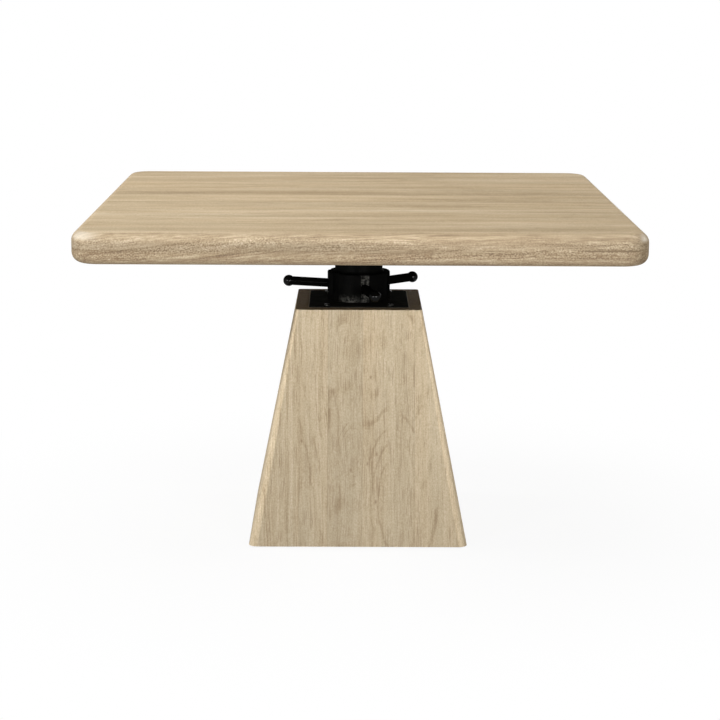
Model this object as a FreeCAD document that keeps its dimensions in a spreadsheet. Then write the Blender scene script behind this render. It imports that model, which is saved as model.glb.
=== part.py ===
import FreeCAD, Part
import os
import re
import Sketcher

# Height-adjustable square table on a hollow wooden pyramid.
# A cast capstan nut with three bar handles turns on a steel plate on top of the pyramid.
# A keyed lift screw hangs from the tabletop, passes through the nut and slides in a guide tube.
# Frame: millimetres, +Z up, origin on the floor under the centre of the table, front towards -Y.
# The tabletop is drawn at its lowest stop.

# Driving dimensions, millimetres and degrees
SIZES = {
    # Tabletop
    "top_width": 1200,
    "top_depth": 1200,
    "board_thick": 35,
    "edge_thick": 33,
    "edge_width": 95,
    "top_corner_r": 58,
    "top_edge_r": 22,
    "batten_width": 80,
    "batten_spacing": 320,
    "batten_gap": 5,
    "batten_chamfer": 12,
    "batten_screw_dia": 6,
    "batten_screw_head": 12,
    "batten_screw_head_thick": 4,
    "batten_screw_recess": 1,
    "batten_screw_bite": 20,
    # Pyramid base
    "base_bottom": 502,
    "base_top": 291,
    "base_height": 533.4,
    "panel_wall": 28,
    "corner_r_bottom": 21,
    "corner_r_top": 8,
    "stave_joint_left": -136,
    "stave_joint_mid_left": -70,
    "stave_joint_centre": 9,
    "stave_joint_right": 129,
    "deck_thick": 36,
    "bottom_thick": 18,
    "cleat_size": 28,
    "corner_block": 45,
    "block_gap": 4,
    "glide_dia": 32,
    "glide_thick": 3,
    "glide_bevel": 1,
    "glide_inset": 52,
    # Base plate and its screws
    "plate_margin": 41.5,
    "plate_thick": 2,
    "plate_corner_r": 10,
    "plate_edge_r": 1.2,
    "plate_screw_inset_x": 42,
    "plate_screw_inset_y": 20,
    "plate_screw_dia": 7,
    "plate_screw_head": 14,
    "plate_screw_head_thick": 3.5,
    "plate_screw_bite": 28,
    # Guide tube, key and retaining ring
    "tube_wall": 5,
    "tube_skirt": 8,
    "deck_room": 1,
    "key_width": 12,
    "key_depth": 7,
    "key_gap": 1,
    "key_inset": 6,
    "key_screw_dia": 5,
    "key_screw_head": 9,
    "key_screw_head_thick": 3,
    "key_screw_inset": 30,
    "key_screw_bite": 5,
    "ring_thick": 2,
    "ring_bite": 1.5,
    "ring_proud": 3.5,
    "ring_room": 1.5,
    "ring_gap": 0.3,
    "ring_land": 2.5,
    "ring_mouth": 14,
    # Capstan
    "washer_thick": 2,
    "washer_room": 0.5,
    "washer_inset": 14.5,
    "hub_height": 65.1,
    "neck_height": 33,
    "neck_wall": 8,
    "shoulder_width": 17.5,
    "hub_edge_r": 3,
    "hub_root_r": 6,
    "slot_width": 21,
    "slot_depth": 5.5,
    "bush_wall": 6,
    "bush_length": 16,
    "running_fit": 0.05,
    "nut_gap": 3,
    "nut_flange_thick": 8,
    "thread_fit": 0.1,
    "nut_screw_dia": 4,
    "nut_screw_head": 7,
    "nut_screw_head_thick": 3,
    "nut_screw_bite": 14,
    "bar_angle": 12,
    "bar_dia": 21,
    "bar_height": 31.6,
    "bar_reach": 175,
    "stud_dia": 14,
    "stud_land": 4,
    "ball_dia": 26.8,
    "ball_spigot_dia": 10,
    "ball_spigot_length": 13,
    # Lift screw, guide shoe and socket
    "screw_dia": 60,
    "lift_travel": 140,
    "stop_gap": 2,
    "shoe_height": 40,
    "shoe_spigot_dia": 40,
    "shoe_fit": 0.1,
    "keyway_fit": 0.2,
    "shoe_washer_dia": 58,
    "shoe_washer_thick": 6,
    "shoe_bolt_dia": 16,
    "shoe_bolt_bite": 34,
    "shoe_bolt_head": 24,
    "shoe_bolt_head_thick": 10,
    "rest_gap": 6,
    "socket_height": 48.5,
    "socket_wall": 20,
    "socket_flange": 50,
    "socket_flange_thick": 10,
    "socket_pin_dia": 10,
    "socket_pin_height": 10,
    "socket_pin_proud": 3,
    "rib_thick": 8,
    "rib_foot": 20,
    "rib_inset": 8,
    "socket_bolt_dia": 10,
    "socket_bolt_head": 17,
    "socket_bolt_head_thick": 6.5,
    "socket_bolt_share": 0.6,
    # Top plate
    "plate_overlap": 50,
    "top_plate_thick": 6,
    "top_plate_corner_r": 20,
    "top_bolt_inset": 40,
    "top_bolt_dia": 8,
    "top_bolt_head": 16,
    "top_bolt_head_thick": 5,
    "top_bolt_bite": 26,
}

BOARD_COUNT = 9
HANDLE_COUNT = 3
CHANNEL_COUNT = 2 * HANDLE_COUNT
PAIR_COUNT = 2
RIB_COUNT = 4
SIDES = ("front", "right", "back", "left")
STAVE_JOINTS = ("stave_joint_left", "stave_joint_mid_left", "stave_joint_centre", "stave_joint_right")

# Radii worked outwards from the lift screw
SCREW_R = "screw_dia / 2"
TUBE_BORE_R = f"({SCREW_R} + key_gap + key_depth)"
TUBE_R = f"({TUBE_BORE_R} + tube_wall)"
BUSH_BORE_R = f"({TUBE_R} + running_fit)"
BUSH_R = f"({BUSH_BORE_R} + bush_wall)"
HUB_BORE_R = f"({TUBE_R} + ring_proud + ring_room)"
NECK_R = f"({HUB_BORE_R} + neck_wall)"
HUB_R = f"({NECK_R} + shoulder_width)"
SLOT_FLOOR_R = f"({HUB_R} - slot_depth)"
SOCKET_R = f"({SCREW_R} + socket_wall)"
FLANGE_R = f"({SOCKET_R} + socket_flange)"
PLATE_SIZE = f"(2 * {HUB_R} + 2 * plate_margin)"
TOP_PLATE_SIZE = "(batten_spacing + 2 * plate_overlap)"
BOARD_WIDTH = f"(top_depth / {BOARD_COUNT})"

# Heights stacked up from the floor
WOOD_TOP = "(glide_thick + base_height)"
PLATE_TOP = f"({WOOD_TOP} + plate_thick)"
HUB_FOOT = f"({PLATE_TOP} + washer_thick)"
HUB_TOP = f"({HUB_FOOT} + hub_height + neck_height)"
NUT_TOP = f"({HUB_TOP} + nut_flange_thick)"
SOCKET_FOOT = f"({NUT_TOP} + rest_gap)"
TOP_PLATE_FOOT = f"({SOCKET_FOOT} + socket_height)"
SLAB_FOOT = f"({TOP_PLATE_FOOT} + top_plate_thick)"
SLAB_MID = f"({SLAB_FOOT} + edge_thick)"

# Heights inside the capstan and the guide tube
RING_STACK = "(bush_length + ring_gap + ring_thick + ring_land)"
TUBE_TOP = f"({HUB_FOOT} + {RING_STACK})"
NUT_FOOT = f"({TUBE_TOP} + nut_gap)"
SHOE_TOP = f"({NUT_FOOT} - stop_gap - lift_travel)"
SHOE_FOOT = f"({SHOE_TOP} - shoe_height)"
SHOE_WASHER_FOOT = f"({SHOE_FOOT} - shoe_washer_thick)"
SHOE_BOLT_FOOT = f"({SHOE_WASHER_FOOT} - shoe_bolt_head_thick)"
TUBE_FOOT = f"({SHOE_BOLT_FOOT} - tube_skirt)"
TUBE_LENGTH = f"({TUBE_TOP} - {TUBE_FOOT})"
KEY_FLAT = f"({SCREW_R} + key_gap)"

# Slope of the pyramid's sides, sideways for each millimetre of height
SLOPE = "((base_bottom - base_top) / 2 / base_height)"
INNER_TOP = "(base_top / 2 - panel_wall)"
INNER_BOTTOM = "(base_bottom / 2 - panel_wall)"
INNER_UNDER_DECK = f"({INNER_TOP} + {SLOPE} * deck_thick)"
INNER_OVER_BOTTOM = f"({INNER_BOTTOM} - {SLOPE} * bottom_thick)"

# Places of fasteners that two or more pieces share
BATTEN_LENGTH = "(top_depth - 2 * edge_width - 2 * batten_gap)"
BATTEN_SCREW_COUNT = BOARD_COUNT - 2
BATTEN_SCREW_X = "(batten_spacing / 2 - batten_width / 4)"
BATTEN_SCREW_ROW = f"({BATTEN_SCREW_COUNT - 1} * {BOARD_WIDTH})"
BATTEN_SCREW_GRID = [
    ("X_Axis", f"2 * {BATTEN_SCREW_X}", PAIR_COUNT),
    ("Y_Axis", BATTEN_SCREW_ROW, BATTEN_SCREW_COUNT),
]
TOP_BOLT_COUNT = 3
TOP_BOLT_X = "(batten_spacing / 2 + batten_width / 4)"
TOP_BOLT_ROW = f"({TOP_PLATE_SIZE} - 2 * top_bolt_inset)"
TOP_BOLT_GRID = [
    ("X_Axis", f"2 * {TOP_BOLT_X}", PAIR_COUNT),
    ("Y_Axis", TOP_BOLT_ROW, TOP_BOLT_COUNT),
]
SOCKET_BOLT_XY = f"(({SOCKET_R} + socket_flange * socket_bolt_share) / sqrt(2))"
SOCKET_BOLT_GRID = [(axis, f"2 * {SOCKET_BOLT_XY}", PAIR_COUNT) for axis in ("X_Axis", "Y_Axis")]
NUT_SCREW_COUNT = 4
NUT_SCREW_XY = f"(({HUB_BORE_R} + neck_wall / 2) / sqrt(2))"
STUD_LENGTH = f"({SLOT_FLOOR_R} - {HUB_BORE_R} - stud_land)"
KEY_SCREW_COUNT = 2
KEY_SCREW_ROW = f"({WOOD_TOP} - deck_thick - {TUBE_FOOT} - 2 * key_screw_inset)"
PLATE_SCREW_X = f"({PLATE_SIZE} / 2 - plate_screw_inset_x)"
PLATE_SCREW_Y = f"({PLATE_SIZE} / 2 - plate_screw_inset_y)"
PLATE_SCREW_GRID = [
    ("X_Axis", f"2 * {PLATE_SCREW_X}", PAIR_COUNT),
    ("Y_Axis", f"2 * {PLATE_SCREW_Y}", PAIR_COUNT),
]

# Two points or levels closer than this count as one, millimetres
TOUCH = 1e-5

doc = FreeCAD.newDocument("height_adjustable_table")
sheet = doc.addObject("Spreadsheet::Sheet", "sizes")
for row, (alias, size) in enumerate(SIZES.items(), start=1):
    sheet.set(f"A{row}", alias)
    sheet.set(f"B{row}", str(size))
    sheet.setAlias(f"B{row}", alias)
doc.recompute()

nodes = []


def bound(rule):
    """Turn a rule written with size names into an expression on the sheet's cells."""
    return re.sub(r"[a-z]\w*", lambda word: f"sizes.{word[0]}" if word[0] in SIZES else word[0], rule)


def amount(rule):
    """Give the present value of a rule in millimetres."""
    return float(sheet.evalExpression(bound(rule)))


def bind(thing, **rules):
    """Bind properties of an object to rules; a double underscore stands for a dot."""
    for name, rule in rules.items():
        thing.setExpression(name.replace("__", "."), bound(rule))


def place(thing, x="0", y="0", z="0", turn="0"):
    """Seat an object at a bound position, turned about the vertical axis."""
    thing.Placement.Rotation = FreeCAD.Rotation(FreeCAD.Vector(0, 0, 1), 0)
    bind(thing, Placement__Base__x=x, Placement__Base__y=y, Placement__Base__z=z)
    bind(thing, Placement__Rotation__Angle=turn)
    return thing


def keep(thing, name):
    """Name an object as one finished piece of the table."""
    thing.Label = name
    nodes.append(thing)
    return thing


def new_body(name, many=False):
    """Start a body; a body of many holds a group of equal separate solids."""
    body = doc.addObject("PartDesign::Body", name)
    body.AllowCompound = many
    return body


def origin(body, role):
    """Find an origin plane or axis of a body by its role."""
    return next(feature for feature in body.Origin.OriginFeatures if feature.Role == role)


def new_sketch(body, plane, lift="0"):
    """Start a sketch on an origin plane, lifted along the plane's normal."""
    sketch = body.newObject("Sketcher::SketchObject", f"{body.Name}_sketch")
    sketch.AttachmentSupport = [(origin(body, plane), "")]
    sketch.MapMode = "FlatFace"
    bind(sketch, AttachmentOffset__Base__z=lift)
    return sketch


def pin_point(sketch, geometry, end, rules):
    """Fix one point of a sketch at bound coordinates."""
    for kind, rule in zip(("DistanceX", "DistanceY"), rules):
        item = Sketcher.Constraint(kind, -1, 1, geometry, end, amount(rule))
        sketch.setExpression(f"Constraints[{sketch.addConstraint(item)}]", bound(rule))


def outline(body, plane, corners, lift="0", arcs=None):
    """Sketch a closed outline through corners given as pairs of rules.

    arcs maps the number of a side to (point on the way, radius); the other sides are straight.
    """
    sketch = new_sketch(body, plane, lift)
    points = [FreeCAD.Vector(amount(across), amount(along), 0) for across, along in corners]
    arcs = arcs or {}
    ends = []
    for side, start in enumerate(points):
        stop = points[(side + 1) % len(points)]
        if side in arcs:
            way = FreeCAD.Vector(amount(arcs[side][0][0]), amount(arcs[side][0][1]), 0)
            curve = Part.Arc(start, way, stop)
        else:
            curve = Part.LineSegment(start, stop)
        geometry = sketch.addGeometry(curve, False)
        first = 1 if sketch.getPoint(geometry, 1).distanceToPoint(start) < TOUCH else 2
        ends.append((first, 3 - first))
    for side in range(len(points)):
        after = (side + 1) % len(points)
        sketch.addConstraint(Sketcher.Constraint("Coincident", side, ends[side][1], after, ends[after][0]))
        pin_point(sketch, side, ends[side][0], corners[side])
    for side, (_, radius) in arcs.items():
        item = Sketcher.Constraint("Radius", side, amount(radius))
        sketch.setExpression(f"Constraints[{sketch.addConstraint(item)}]", bound(radius))
    return sketch


def rectangle(body, plane, width, depth, lift="0"):
    """Sketch a rectangle about the origin of a plane."""
    half_w = f"({width}) / 2"
    half_d = f"({depth}) / 2"
    left, front = f"-{half_w}", f"-{half_d}"
    corners = [(left, front), (half_w, front), (half_w, half_d), (left, half_d)]
    return outline(body, plane, corners, lift)


def circle(body, plane, centre, radius, lift="0"):
    """Sketch a circle at bound coordinates."""
    sketch = new_sketch(body, plane, lift)
    middle = FreeCAD.Vector(amount(centre[0]), amount(centre[1]), 0)
    sketch.addGeometry(Part.Circle(middle, FreeCAD.Vector(0, 0, 1), amount(radius)), False)
    pin_point(sketch, 0, 3, centre)
    item = Sketcher.Constraint("Radius", 0, amount(radius))
    sketch.setExpression(f"Constraints[{sketch.addConstraint(item)}]", bound(radius))
    return sketch


def add_feature(body, kind, **rules):
    """Add a feature to a body and bind its sizes."""
    feature = body.newObject(f"PartDesign::{kind}", f"{body.Name}_{kind.lower()}")
    bind(feature, **rules)
    return feature


def pad(body, sketch, length):
    """Raise a sketch along its normal."""
    feature = add_feature(body, "Pad", Length=length)
    feature.Profile = sketch
    doc.recompute()
    return feature


def revolve(body, sketch, axis="V_Axis"):
    """Turn a profile about one of its sketch's axes."""
    feature = add_feature(body, "Revolution")
    feature.Profile = sketch
    feature.ReferenceAxis = (sketch, [axis])
    feature.Angle = 360
    doc.recompute()
    return feature


def pocket(body, sketch, length, forward=True):
    """Cut a sketch into the body, forward along its normal or backward, and make sure it cuts."""
    before = body.Shape.Volume
    feature = add_feature(body, "Pocket", Length=length)
    feature.Profile = sketch
    feature.Reversed = forward
    doc.recompute()
    if body.Shape.Volume > before - TOUCH:
        raise ValueError(f"{feature.Name} cuts nothing")
    return feature


def round_edges(body, radius, chosen):
    """Round the edges of a body's last feature that a test chooses."""
    base = body.Tip
    names = [f"Edge{number}" for number, edge in enumerate(base.Shape.Edges, start=1) if chosen(edge)]
    feature = add_feature(body, "Fillet", Radius=radius)
    feature.Base = (base, names)
    doc.recompute()
    return feature


def polar(body, features, count):
    """Repeat features evenly round the vertical axis."""
    feature = add_feature(body, "PolarPattern")
    feature.Originals = features
    feature.Axis = (origin(body, "Z_Axis"), [""])
    feature.Angle = 360
    feature.Occurrences = count
    body.Tip = feature
    doc.recompute()
    return feature


def row_of(body, features, axis, length, count):
    """Repeat features in a row along an axis, over a bound length."""
    feature = add_feature(body, "LinearPattern", Length=length)
    feature.Originals = features
    feature.Direction = (origin(body, axis), [""])
    feature.Occurrences = count
    body.Tip = feature
    doc.recompute()
    return feature


def grid_of(body, features, rows):
    """Repeat features on a grid; rows lists (axis, length, count)."""
    steps = []
    grid = add_feature(body, "MultiTransform")
    grid.Originals = features
    for axis, length, count in rows:
        step = add_feature(body, "LinearPattern", Length=length)
        step.Direction = (origin(body, axis), [""])
        step.Occurrences = count
        steps.append(step)
    grid.Transformations = steps
    body.Tip = grid
    doc.recompute()
    return grid


def is_upright(edge):
    """Tell whether an edge runs straight up."""
    low, high = edge.Vertexes[0].Point, edge.Vertexes[-1].Point
    return abs(low.x - high.x) + abs(low.y - high.y) < TOUCH < abs(low.z - high.z)


def lies_at(level):
    """Give a test for edges that lie flat at a level of the body."""
    return lambda edge: max(abs(edge.BoundBox.ZMin - level), abs(edge.BoundBox.ZMax - level)) < TOUCH


def ring_at(level, radius):
    """Give a test for a circular edge of a radius at a level of the body."""
    flat = lies_at(level)
    return lambda edge: (
        flat(edge)
        and hasattr(edge.Curve, "Radius")
        and abs(edge.Curve.Radius - radius) < TOUCH
    )


def turned_copy(thing, name, turn):
    """Repeat an object turned about the vertical axis."""
    copy = doc.addObject("Part::Compound", name)
    copy.Links = [thing]
    return place(copy, turn=turn)


def group(name, members):
    """Gather equal separate solids into one piece."""
    gathered = doc.addObject("Part::Compound", name)
    gathered.Links = members
    return keep(gathered, name)


def frustum(name, foot, height, half_foot, half_head):
    """Make a square frustum about the vertical axis."""
    block = doc.addObject("Part::Wedge", name)
    bind(block, Xmin=f"-{half_foot}", Xmax=half_foot, Zmin=f"-{half_foot}", Zmax=half_foot)
    bind(block, X2min=f"-{half_head}", X2max=half_head, Z2min=f"-{half_head}", Z2max=half_head)
    bind(block, Ymin="0", Ymax=height, Placement__Base__z=foot)
    block.Placement.Rotation = FreeCAD.Rotation(FreeCAD.Vector(1, 0, 0), 90)
    return block


def brick(name, low, size):
    """Make a box from its lowest corner and its size."""
    box = doc.addObject("Part::Box", name)
    bind(box, Length=size[0], Width=size[1], Height=size[2])
    return place(box, *low)


def joined(kind, name, base, tool):
    """Combine two objects with a boolean."""
    result = doc.addObject(f"Part::{kind}", name)
    result.Base = base
    result.Tool = tool
    return result


def screws(name, size, length, head_up):
    """Model one headed screw with its seat at the body's origin, ready to be repeated as a group."""
    body = new_body(name, many=True)
    head_r = f"{size}_head / 2"
    shank_r = f"{size}_dia / 2"
    head = f"{size}_head_thick" if head_up else f"-{size}_head_thick"
    tip = f"-({length})" if head_up else length
    profile = [("0", head), (head_r, head), (head_r, "0"), (shank_r, "0"), (shank_r, tip), ("0", tip)]
    return body, revolve(body, outline(body, "XZ_Plane", profile))


def turned(name, profile):
    """Model a piece turned about the vertical axis from a profile of radius and height."""
    body = new_body(name)
    revolve(body, outline(body, "XZ_Plane", profile))
    return body


def ring_profile(inner, outer, height):
    """Give the profile of a plain ring."""
    return [(inner, "0"), (outer, "0"), (outer, height), (inner, height)]


def slab_blank():
    """Shape the whole tabletop in one block: rounded corners, rounded rims, holes for the batten screws."""
    body = new_body("slab_blank")
    thick = "board_thick + edge_thick"
    pad(body, rectangle(body, "XY_Plane", "top_width", "top_depth"), thick)
    round_edges(body, "top_corner_r", is_upright)
    top = amount(thick)
    round_edges(body, "top_edge_r", lambda edge: lies_at(0)(edge) or lies_at(top)(edge))
    first = (f"-{BATTEN_SCREW_X}", f"-{BATTEN_SCREW_ROW} / 2")
    bore = circle(body, "XY_Plane", first, "batten_screw_dia / 2")
    hole = pocket(body, bore, "edge_thick + batten_screw_bite")
    grid_of(body, [hole], BATTEN_SCREW_GRID)
    return place(body, z=SLAB_FOOT)


def top_boards(blank):
    """Cut the blank's upper layer into edge-glued boards with their grain across the table."""
    for number in range(BOARD_COUNT):
        low = ("-top_width / 2", f"-top_depth / 2 + {number} * {BOARD_WIDTH}", SLAB_MID)
        cut = brick(f"board_cut_{number + 1}", low, ("top_width", BOARD_WIDTH, "board_thick"))
        name = f"top_board_{number + 1}"
        keep(joined("Common", name, blank, cut), name)


def edge_strips(blank):
    """Cut the blank's lower layer into the four strips glued under the rim."""
    inner_depth = "top_depth - 2 * edge_width"
    across = ("top_width", "edge_width", "edge_thick")
    along = ("edge_width", inner_depth, "edge_thick")
    strips = {
        "front": (("-top_width / 2", "-top_depth / 2", SLAB_FOOT), across),
        "back": (("-top_width / 2", "top_depth / 2 - edge_width", SLAB_FOOT), across),
        "left": (("-top_width / 2", "-top_depth / 2 + edge_width", SLAB_FOOT), along),
        "right": (("top_width / 2 - edge_width", "-top_depth / 2 + edge_width", SLAB_FOOT), along),
    }
    for side, (low, size) in strips.items():
        cut = brick(f"strip_cut_{side}", low, size)
        name = f"edge_strip_{side}"
        keep(joined("Common", name, blank, cut), name)


def batten(side, way):
    """Model one batten across the boards, with bevelled ends, recessed screw holes and plate bolt holes."""
    body = new_body(f"batten_{side}")
    half_length = f"({BATTEN_LENGTH} / 2)"
    bevelled = f"({half_length} - batten_chamfer)"
    profile = [
        (f"-{bevelled}", "0"),
        (bevelled, "0"),
        (half_length, "batten_chamfer"),
        (half_length, "edge_thick"),
        (f"-{half_length}", "edge_thick"),
        (f"-{half_length}", "batten_chamfer"),
    ]
    pad(body, outline(body, "YZ_Plane", profile, lift="-batten_width / 2"), "batten_width")
    screw = (f"{-way} * batten_width / 4", f"-{BATTEN_SCREW_ROW} / 2")
    hole = pocket(body, circle(body, "XY_Plane", screw, "batten_screw_dia / 2"), "edge_thick")
    sink_depth = "batten_screw_recess + batten_screw_head_thick"
    sink = pocket(body, circle(body, "XY_Plane", screw, "batten_screw_head / 2"), sink_depth)
    row_of(body, [hole, sink], "Y_Axis", BATTEN_SCREW_ROW, BATTEN_SCREW_COUNT)
    bolt = (f"{way} * batten_width / 4", f"-{TOP_BOLT_ROW} / 2")
    bolt_hole = pocket(body, circle(body, "XY_Plane", bolt, "top_bolt_dia / 2"), "top_bolt_bite")
    row_of(body, [bolt_hole], "Y_Axis", TOP_BOLT_ROW, TOP_BOLT_COUNT)
    return keep(place(body, x=f"{way} * batten_spacing / 2", z=SLAB_FOOT), f"batten_{side}")


def batten_screws():
    """Model the screws that hold the battens to the boards, one for each board that a batten crosses."""
    seat = "batten_screw_recess + batten_screw_head_thick"
    length = f"edge_thick - ({seat}) + batten_screw_bite"
    body, first = screws("batten_screws", "batten_screw", length, False)
    grid_of(body, [first], BATTEN_SCREW_GRID)
    x, y, z = f"-{BATTEN_SCREW_X}", f"-{BATTEN_SCREW_ROW} / 2", f"{SLAB_FOOT} + {seat}"
    return keep(place(body, x, y, z), "batten_screws")


def top_plate():
    """Model the steel plate under the battens, which spreads the load of the lift screw."""
    body = new_body("top_plate")
    pad(body, rectangle(body, "XY_Plane", TOP_PLATE_SIZE, TOP_PLATE_SIZE), "top_plate_thick")
    round_edges(body, "top_plate_corner_r", is_upright)
    first = (f"-{TOP_BOLT_X}", f"-{TOP_BOLT_ROW} / 2")
    outer = pocket(body, circle(body, "XY_Plane", first, "top_bolt_dia / 2"), "top_plate_thick")
    grid_of(body, [outer], TOP_BOLT_GRID)
    first = (f"-{SOCKET_BOLT_XY}", f"-{SOCKET_BOLT_XY}")
    inner = pocket(body, circle(body, "XY_Plane", first, "socket_bolt_dia / 2"), "top_plate_thick")
    grid_of(body, [inner], SOCKET_BOLT_GRID)
    return keep(place(body, z=TOP_PLATE_FOOT), "top_plate")


def top_plate_bolts():
    """Model the bolts that hold the top plate to the battens."""
    body, first = screws("top_plate_bolts", "top_bolt", "top_plate_thick + top_bolt_bite", False)
    grid_of(body, [first], TOP_BOLT_GRID)
    return keep(place(body, f"-{TOP_BOLT_X}", f"-{TOP_BOLT_ROW} / 2", TOP_PLATE_FOOT), "top_plate_bolts")


def screw_socket():
    """Model the cast socket that holds the lift screw: boss, round flange and four ribs."""
    under = "(socket_height - socket_flange_thick)"
    profile = [
        (SCREW_R, "0"),
        (SOCKET_R, "0"),
        (SOCKET_R, under),
        (FLANGE_R, under),
        (FLANGE_R, "socket_height"),
        (SCREW_R, "socket_height"),
    ]
    body = turned("screw_socket", profile)
    root = f"({SOCKET_R} - socket_wall / 2)"
    rib_tip = f"({FLANGE_R} - rib_inset)"
    rib_corners = [(root, "rib_foot"), (SOCKET_R, "rib_foot"), (rib_tip, under), (root, under)]
    rib = pad(body, outline(body, "XZ_Plane", rib_corners, lift="-rib_thick / 2"), "rib_thick")
    polar(body, [rib], RIB_COUNT)
    reach = f"({SOCKET_R} + socket_pin_proud)"
    bore = circle(body, "YZ_Plane", ("0", "socket_pin_height"), "socket_pin_dia / 2", lift=f"-{reach}")
    pocket(body, bore, f"2 * {reach}")
    first = (f"-{SOCKET_BOLT_XY}", f"-{SOCKET_BOLT_XY}")
    bolt_bore = circle(body, "XY_Plane", first, "socket_bolt_dia / 2", under)
    hole = pocket(body, bolt_bore, "socket_flange_thick")
    grid_of(body, [hole], SOCKET_BOLT_GRID)
    return keep(place(body, z=SOCKET_FOOT), "screw_socket")


def socket_bolts():
    """Model the bolts that hold the socket's flange to the top plate."""
    body, first = screws("socket_bolts", "socket_bolt", "socket_flange_thick + top_plate_thick", False)
    grid_of(body, [first], SOCKET_BOLT_GRID)
    z = f"{TOP_PLATE_FOOT} - socket_flange_thick"
    return keep(place(body, f"-{SOCKET_BOLT_XY}", f"-{SOCKET_BOLT_XY}", z), "socket_bolts")


def socket_pin():
    """Model the cross pin through the socket and the lift screw."""
    body = new_body("socket_pin")
    reach = f"({SOCKET_R} + socket_pin_proud)"
    pad(body, circle(body, "YZ_Plane", ("0", "0"), "socket_pin_dia / 2", lift=f"-{reach}"), f"2 * {reach}")
    return keep(place(body, z=f"{SOCKET_FOOT} + socket_pin_height"), "socket_pin")


def lift_screw():
    """Model the lift screw over its thread's crests, with the spigot for the shoe and the bolt's bore."""
    length = f"({TOP_PLATE_FOOT} - {SHOE_FOOT})"
    profile = [
        ("shoe_bolt_dia / 2", "0"),
        ("shoe_spigot_dia / 2", "0"),
        ("shoe_spigot_dia / 2", "shoe_height"),
        (SCREW_R, "shoe_height"),
        (SCREW_R, length),
        ("0", length),
        ("0", "shoe_bolt_bite"),
        ("shoe_bolt_dia / 2", "shoe_bolt_bite"),
    ]
    body = turned("lift_screw", profile)
    pin_height = f"{SOCKET_FOOT} + socket_pin_height - {SHOE_FOOT}"
    bore = circle(body, "YZ_Plane", ("0", pin_height), "socket_pin_dia / 2", lift="-screw_dia")
    pocket(body, bore, "2 * screw_dia")
    return keep(place(body, z=SHOE_FOOT), "lift_screw")


def guide_shoe():
    """Model the bronze shoe that slides in the guide tube, with the keyway that stops the screw turning."""
    shoe_r = f"({TUBE_BORE_R} - shoe_fit)"
    body = turned("guide_shoe", ring_profile("shoe_spigot_dia / 2", shoe_r, "shoe_height"))
    side = "(key_width / 2 + keyway_fit)"
    floor = f"({KEY_FLAT} - 2 * keyway_fit)"
    corners = [(f"-{side}", floor), (side, floor), (side, TUBE_R), (f"-{side}", TUBE_R)]
    pocket(body, outline(body, "XY_Plane", corners), "shoe_height")
    return keep(place(body, z=SHOE_FOOT), "guide_shoe")


def shoe_washer():
    """Model the thick washer under the shoe."""
    ring = ring_profile("shoe_bolt_dia / 2", "shoe_washer_dia / 2", "shoe_washer_thick")
    body = turned("shoe_washer", ring)
    return keep(place(body, z=SHOE_WASHER_FOOT), "shoe_washer")


def shoe_bolt():
    """Model the hexagon bolt that clamps the shoe to the lift screw."""
    body = new_body("shoe_bolt")
    flat = "(shoe_bolt_head / 2)"
    corner = f"({flat} / cos(30))"
    half = f"({corner} / 2)"
    hexagon = [
        (corner, "0"),
        (half, flat),
        (f"-{half}", flat),
        (f"-{corner}", "0"),
        (f"-{half}", f"-{flat}"),
        (half, f"-{flat}"),
    ]
    pad(body, outline(body, "XY_Plane", hexagon), "shoe_bolt_head_thick")
    shank = circle(body, "XY_Plane", ("0", "0"), "shoe_bolt_dia / 2", lift="shoe_bolt_head_thick")
    pad(body, shank, "shoe_washer_thick + shoe_bolt_bite")
    return keep(place(body, z=SHOE_BOLT_FOOT), "shoe_bolt")


def capstan_hub():
    """Model the cast hub: stepped drum, bores for bush and nut, flat-floored channels, a bar in every other."""
    neck_top = "(hub_height + neck_height)"
    profile = [
        (BUSH_R, "0"),
        (HUB_R, "0"),
        (HUB_R, "hub_height"),
        (NECK_R, "hub_height"),
        (NECK_R, neck_top),
        (HUB_BORE_R, neck_top),
        (HUB_BORE_R, "bush_length"),
        (BUSH_R, "bush_length"),
    ]
    body = turned("capstan_hub", profile)
    round_edges(body, "hub_root_r", ring_at(amount("hub_height"), amount(NECK_R)))
    side = "(slot_width / 2)"
    corners = [(f"-{side}", f"-2 * {HUB_R}"), (side, f"-2 * {HUB_R}"), (side, f"-{SLOT_FLOOR_R}")]
    corners.append((f"-{side}", f"-{SLOT_FLOOR_R}"))
    slot = pocket(body, outline(body, "XY_Plane", corners), "hub_height")
    bore = circle(body, "XZ_Plane", ("0", "bar_height"), "stud_dia / 2", lift=SLOT_FLOOR_R)
    bore_cut = pocket(body, bore, STUD_LENGTH, forward=False)
    polar(body, [slot], CHANNEL_COUNT)
    polar(body, [bore_cut], HANDLE_COUNT)
    first = (NUT_SCREW_XY, NUT_SCREW_XY)
    deep = f"{neck_top} - nut_screw_bite"
    tapped = pocket(body, circle(body, "XY_Plane", first, "nut_screw_dia / 2", deep), "nut_screw_bite")
    polar(body, [tapped], NUT_SCREW_COUNT)
    top = amount("hub_height")
    outer = amount(HUB_R)
    round_edges(body, "hub_edge_r", ring_at(top, outer))
    return keep(place(body, z=HUB_FOOT, turn="bar_angle"), "capstan_hub")


def hub_bush():
    """Model the bronze bush pressed into the hub, which turns on the guide tube's spigot."""
    body = turned("hub_bush", ring_profile(BUSH_BORE_R, BUSH_R, "bush_length"))
    return keep(place(body, z=HUB_FOOT), "hub_bush")


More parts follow.
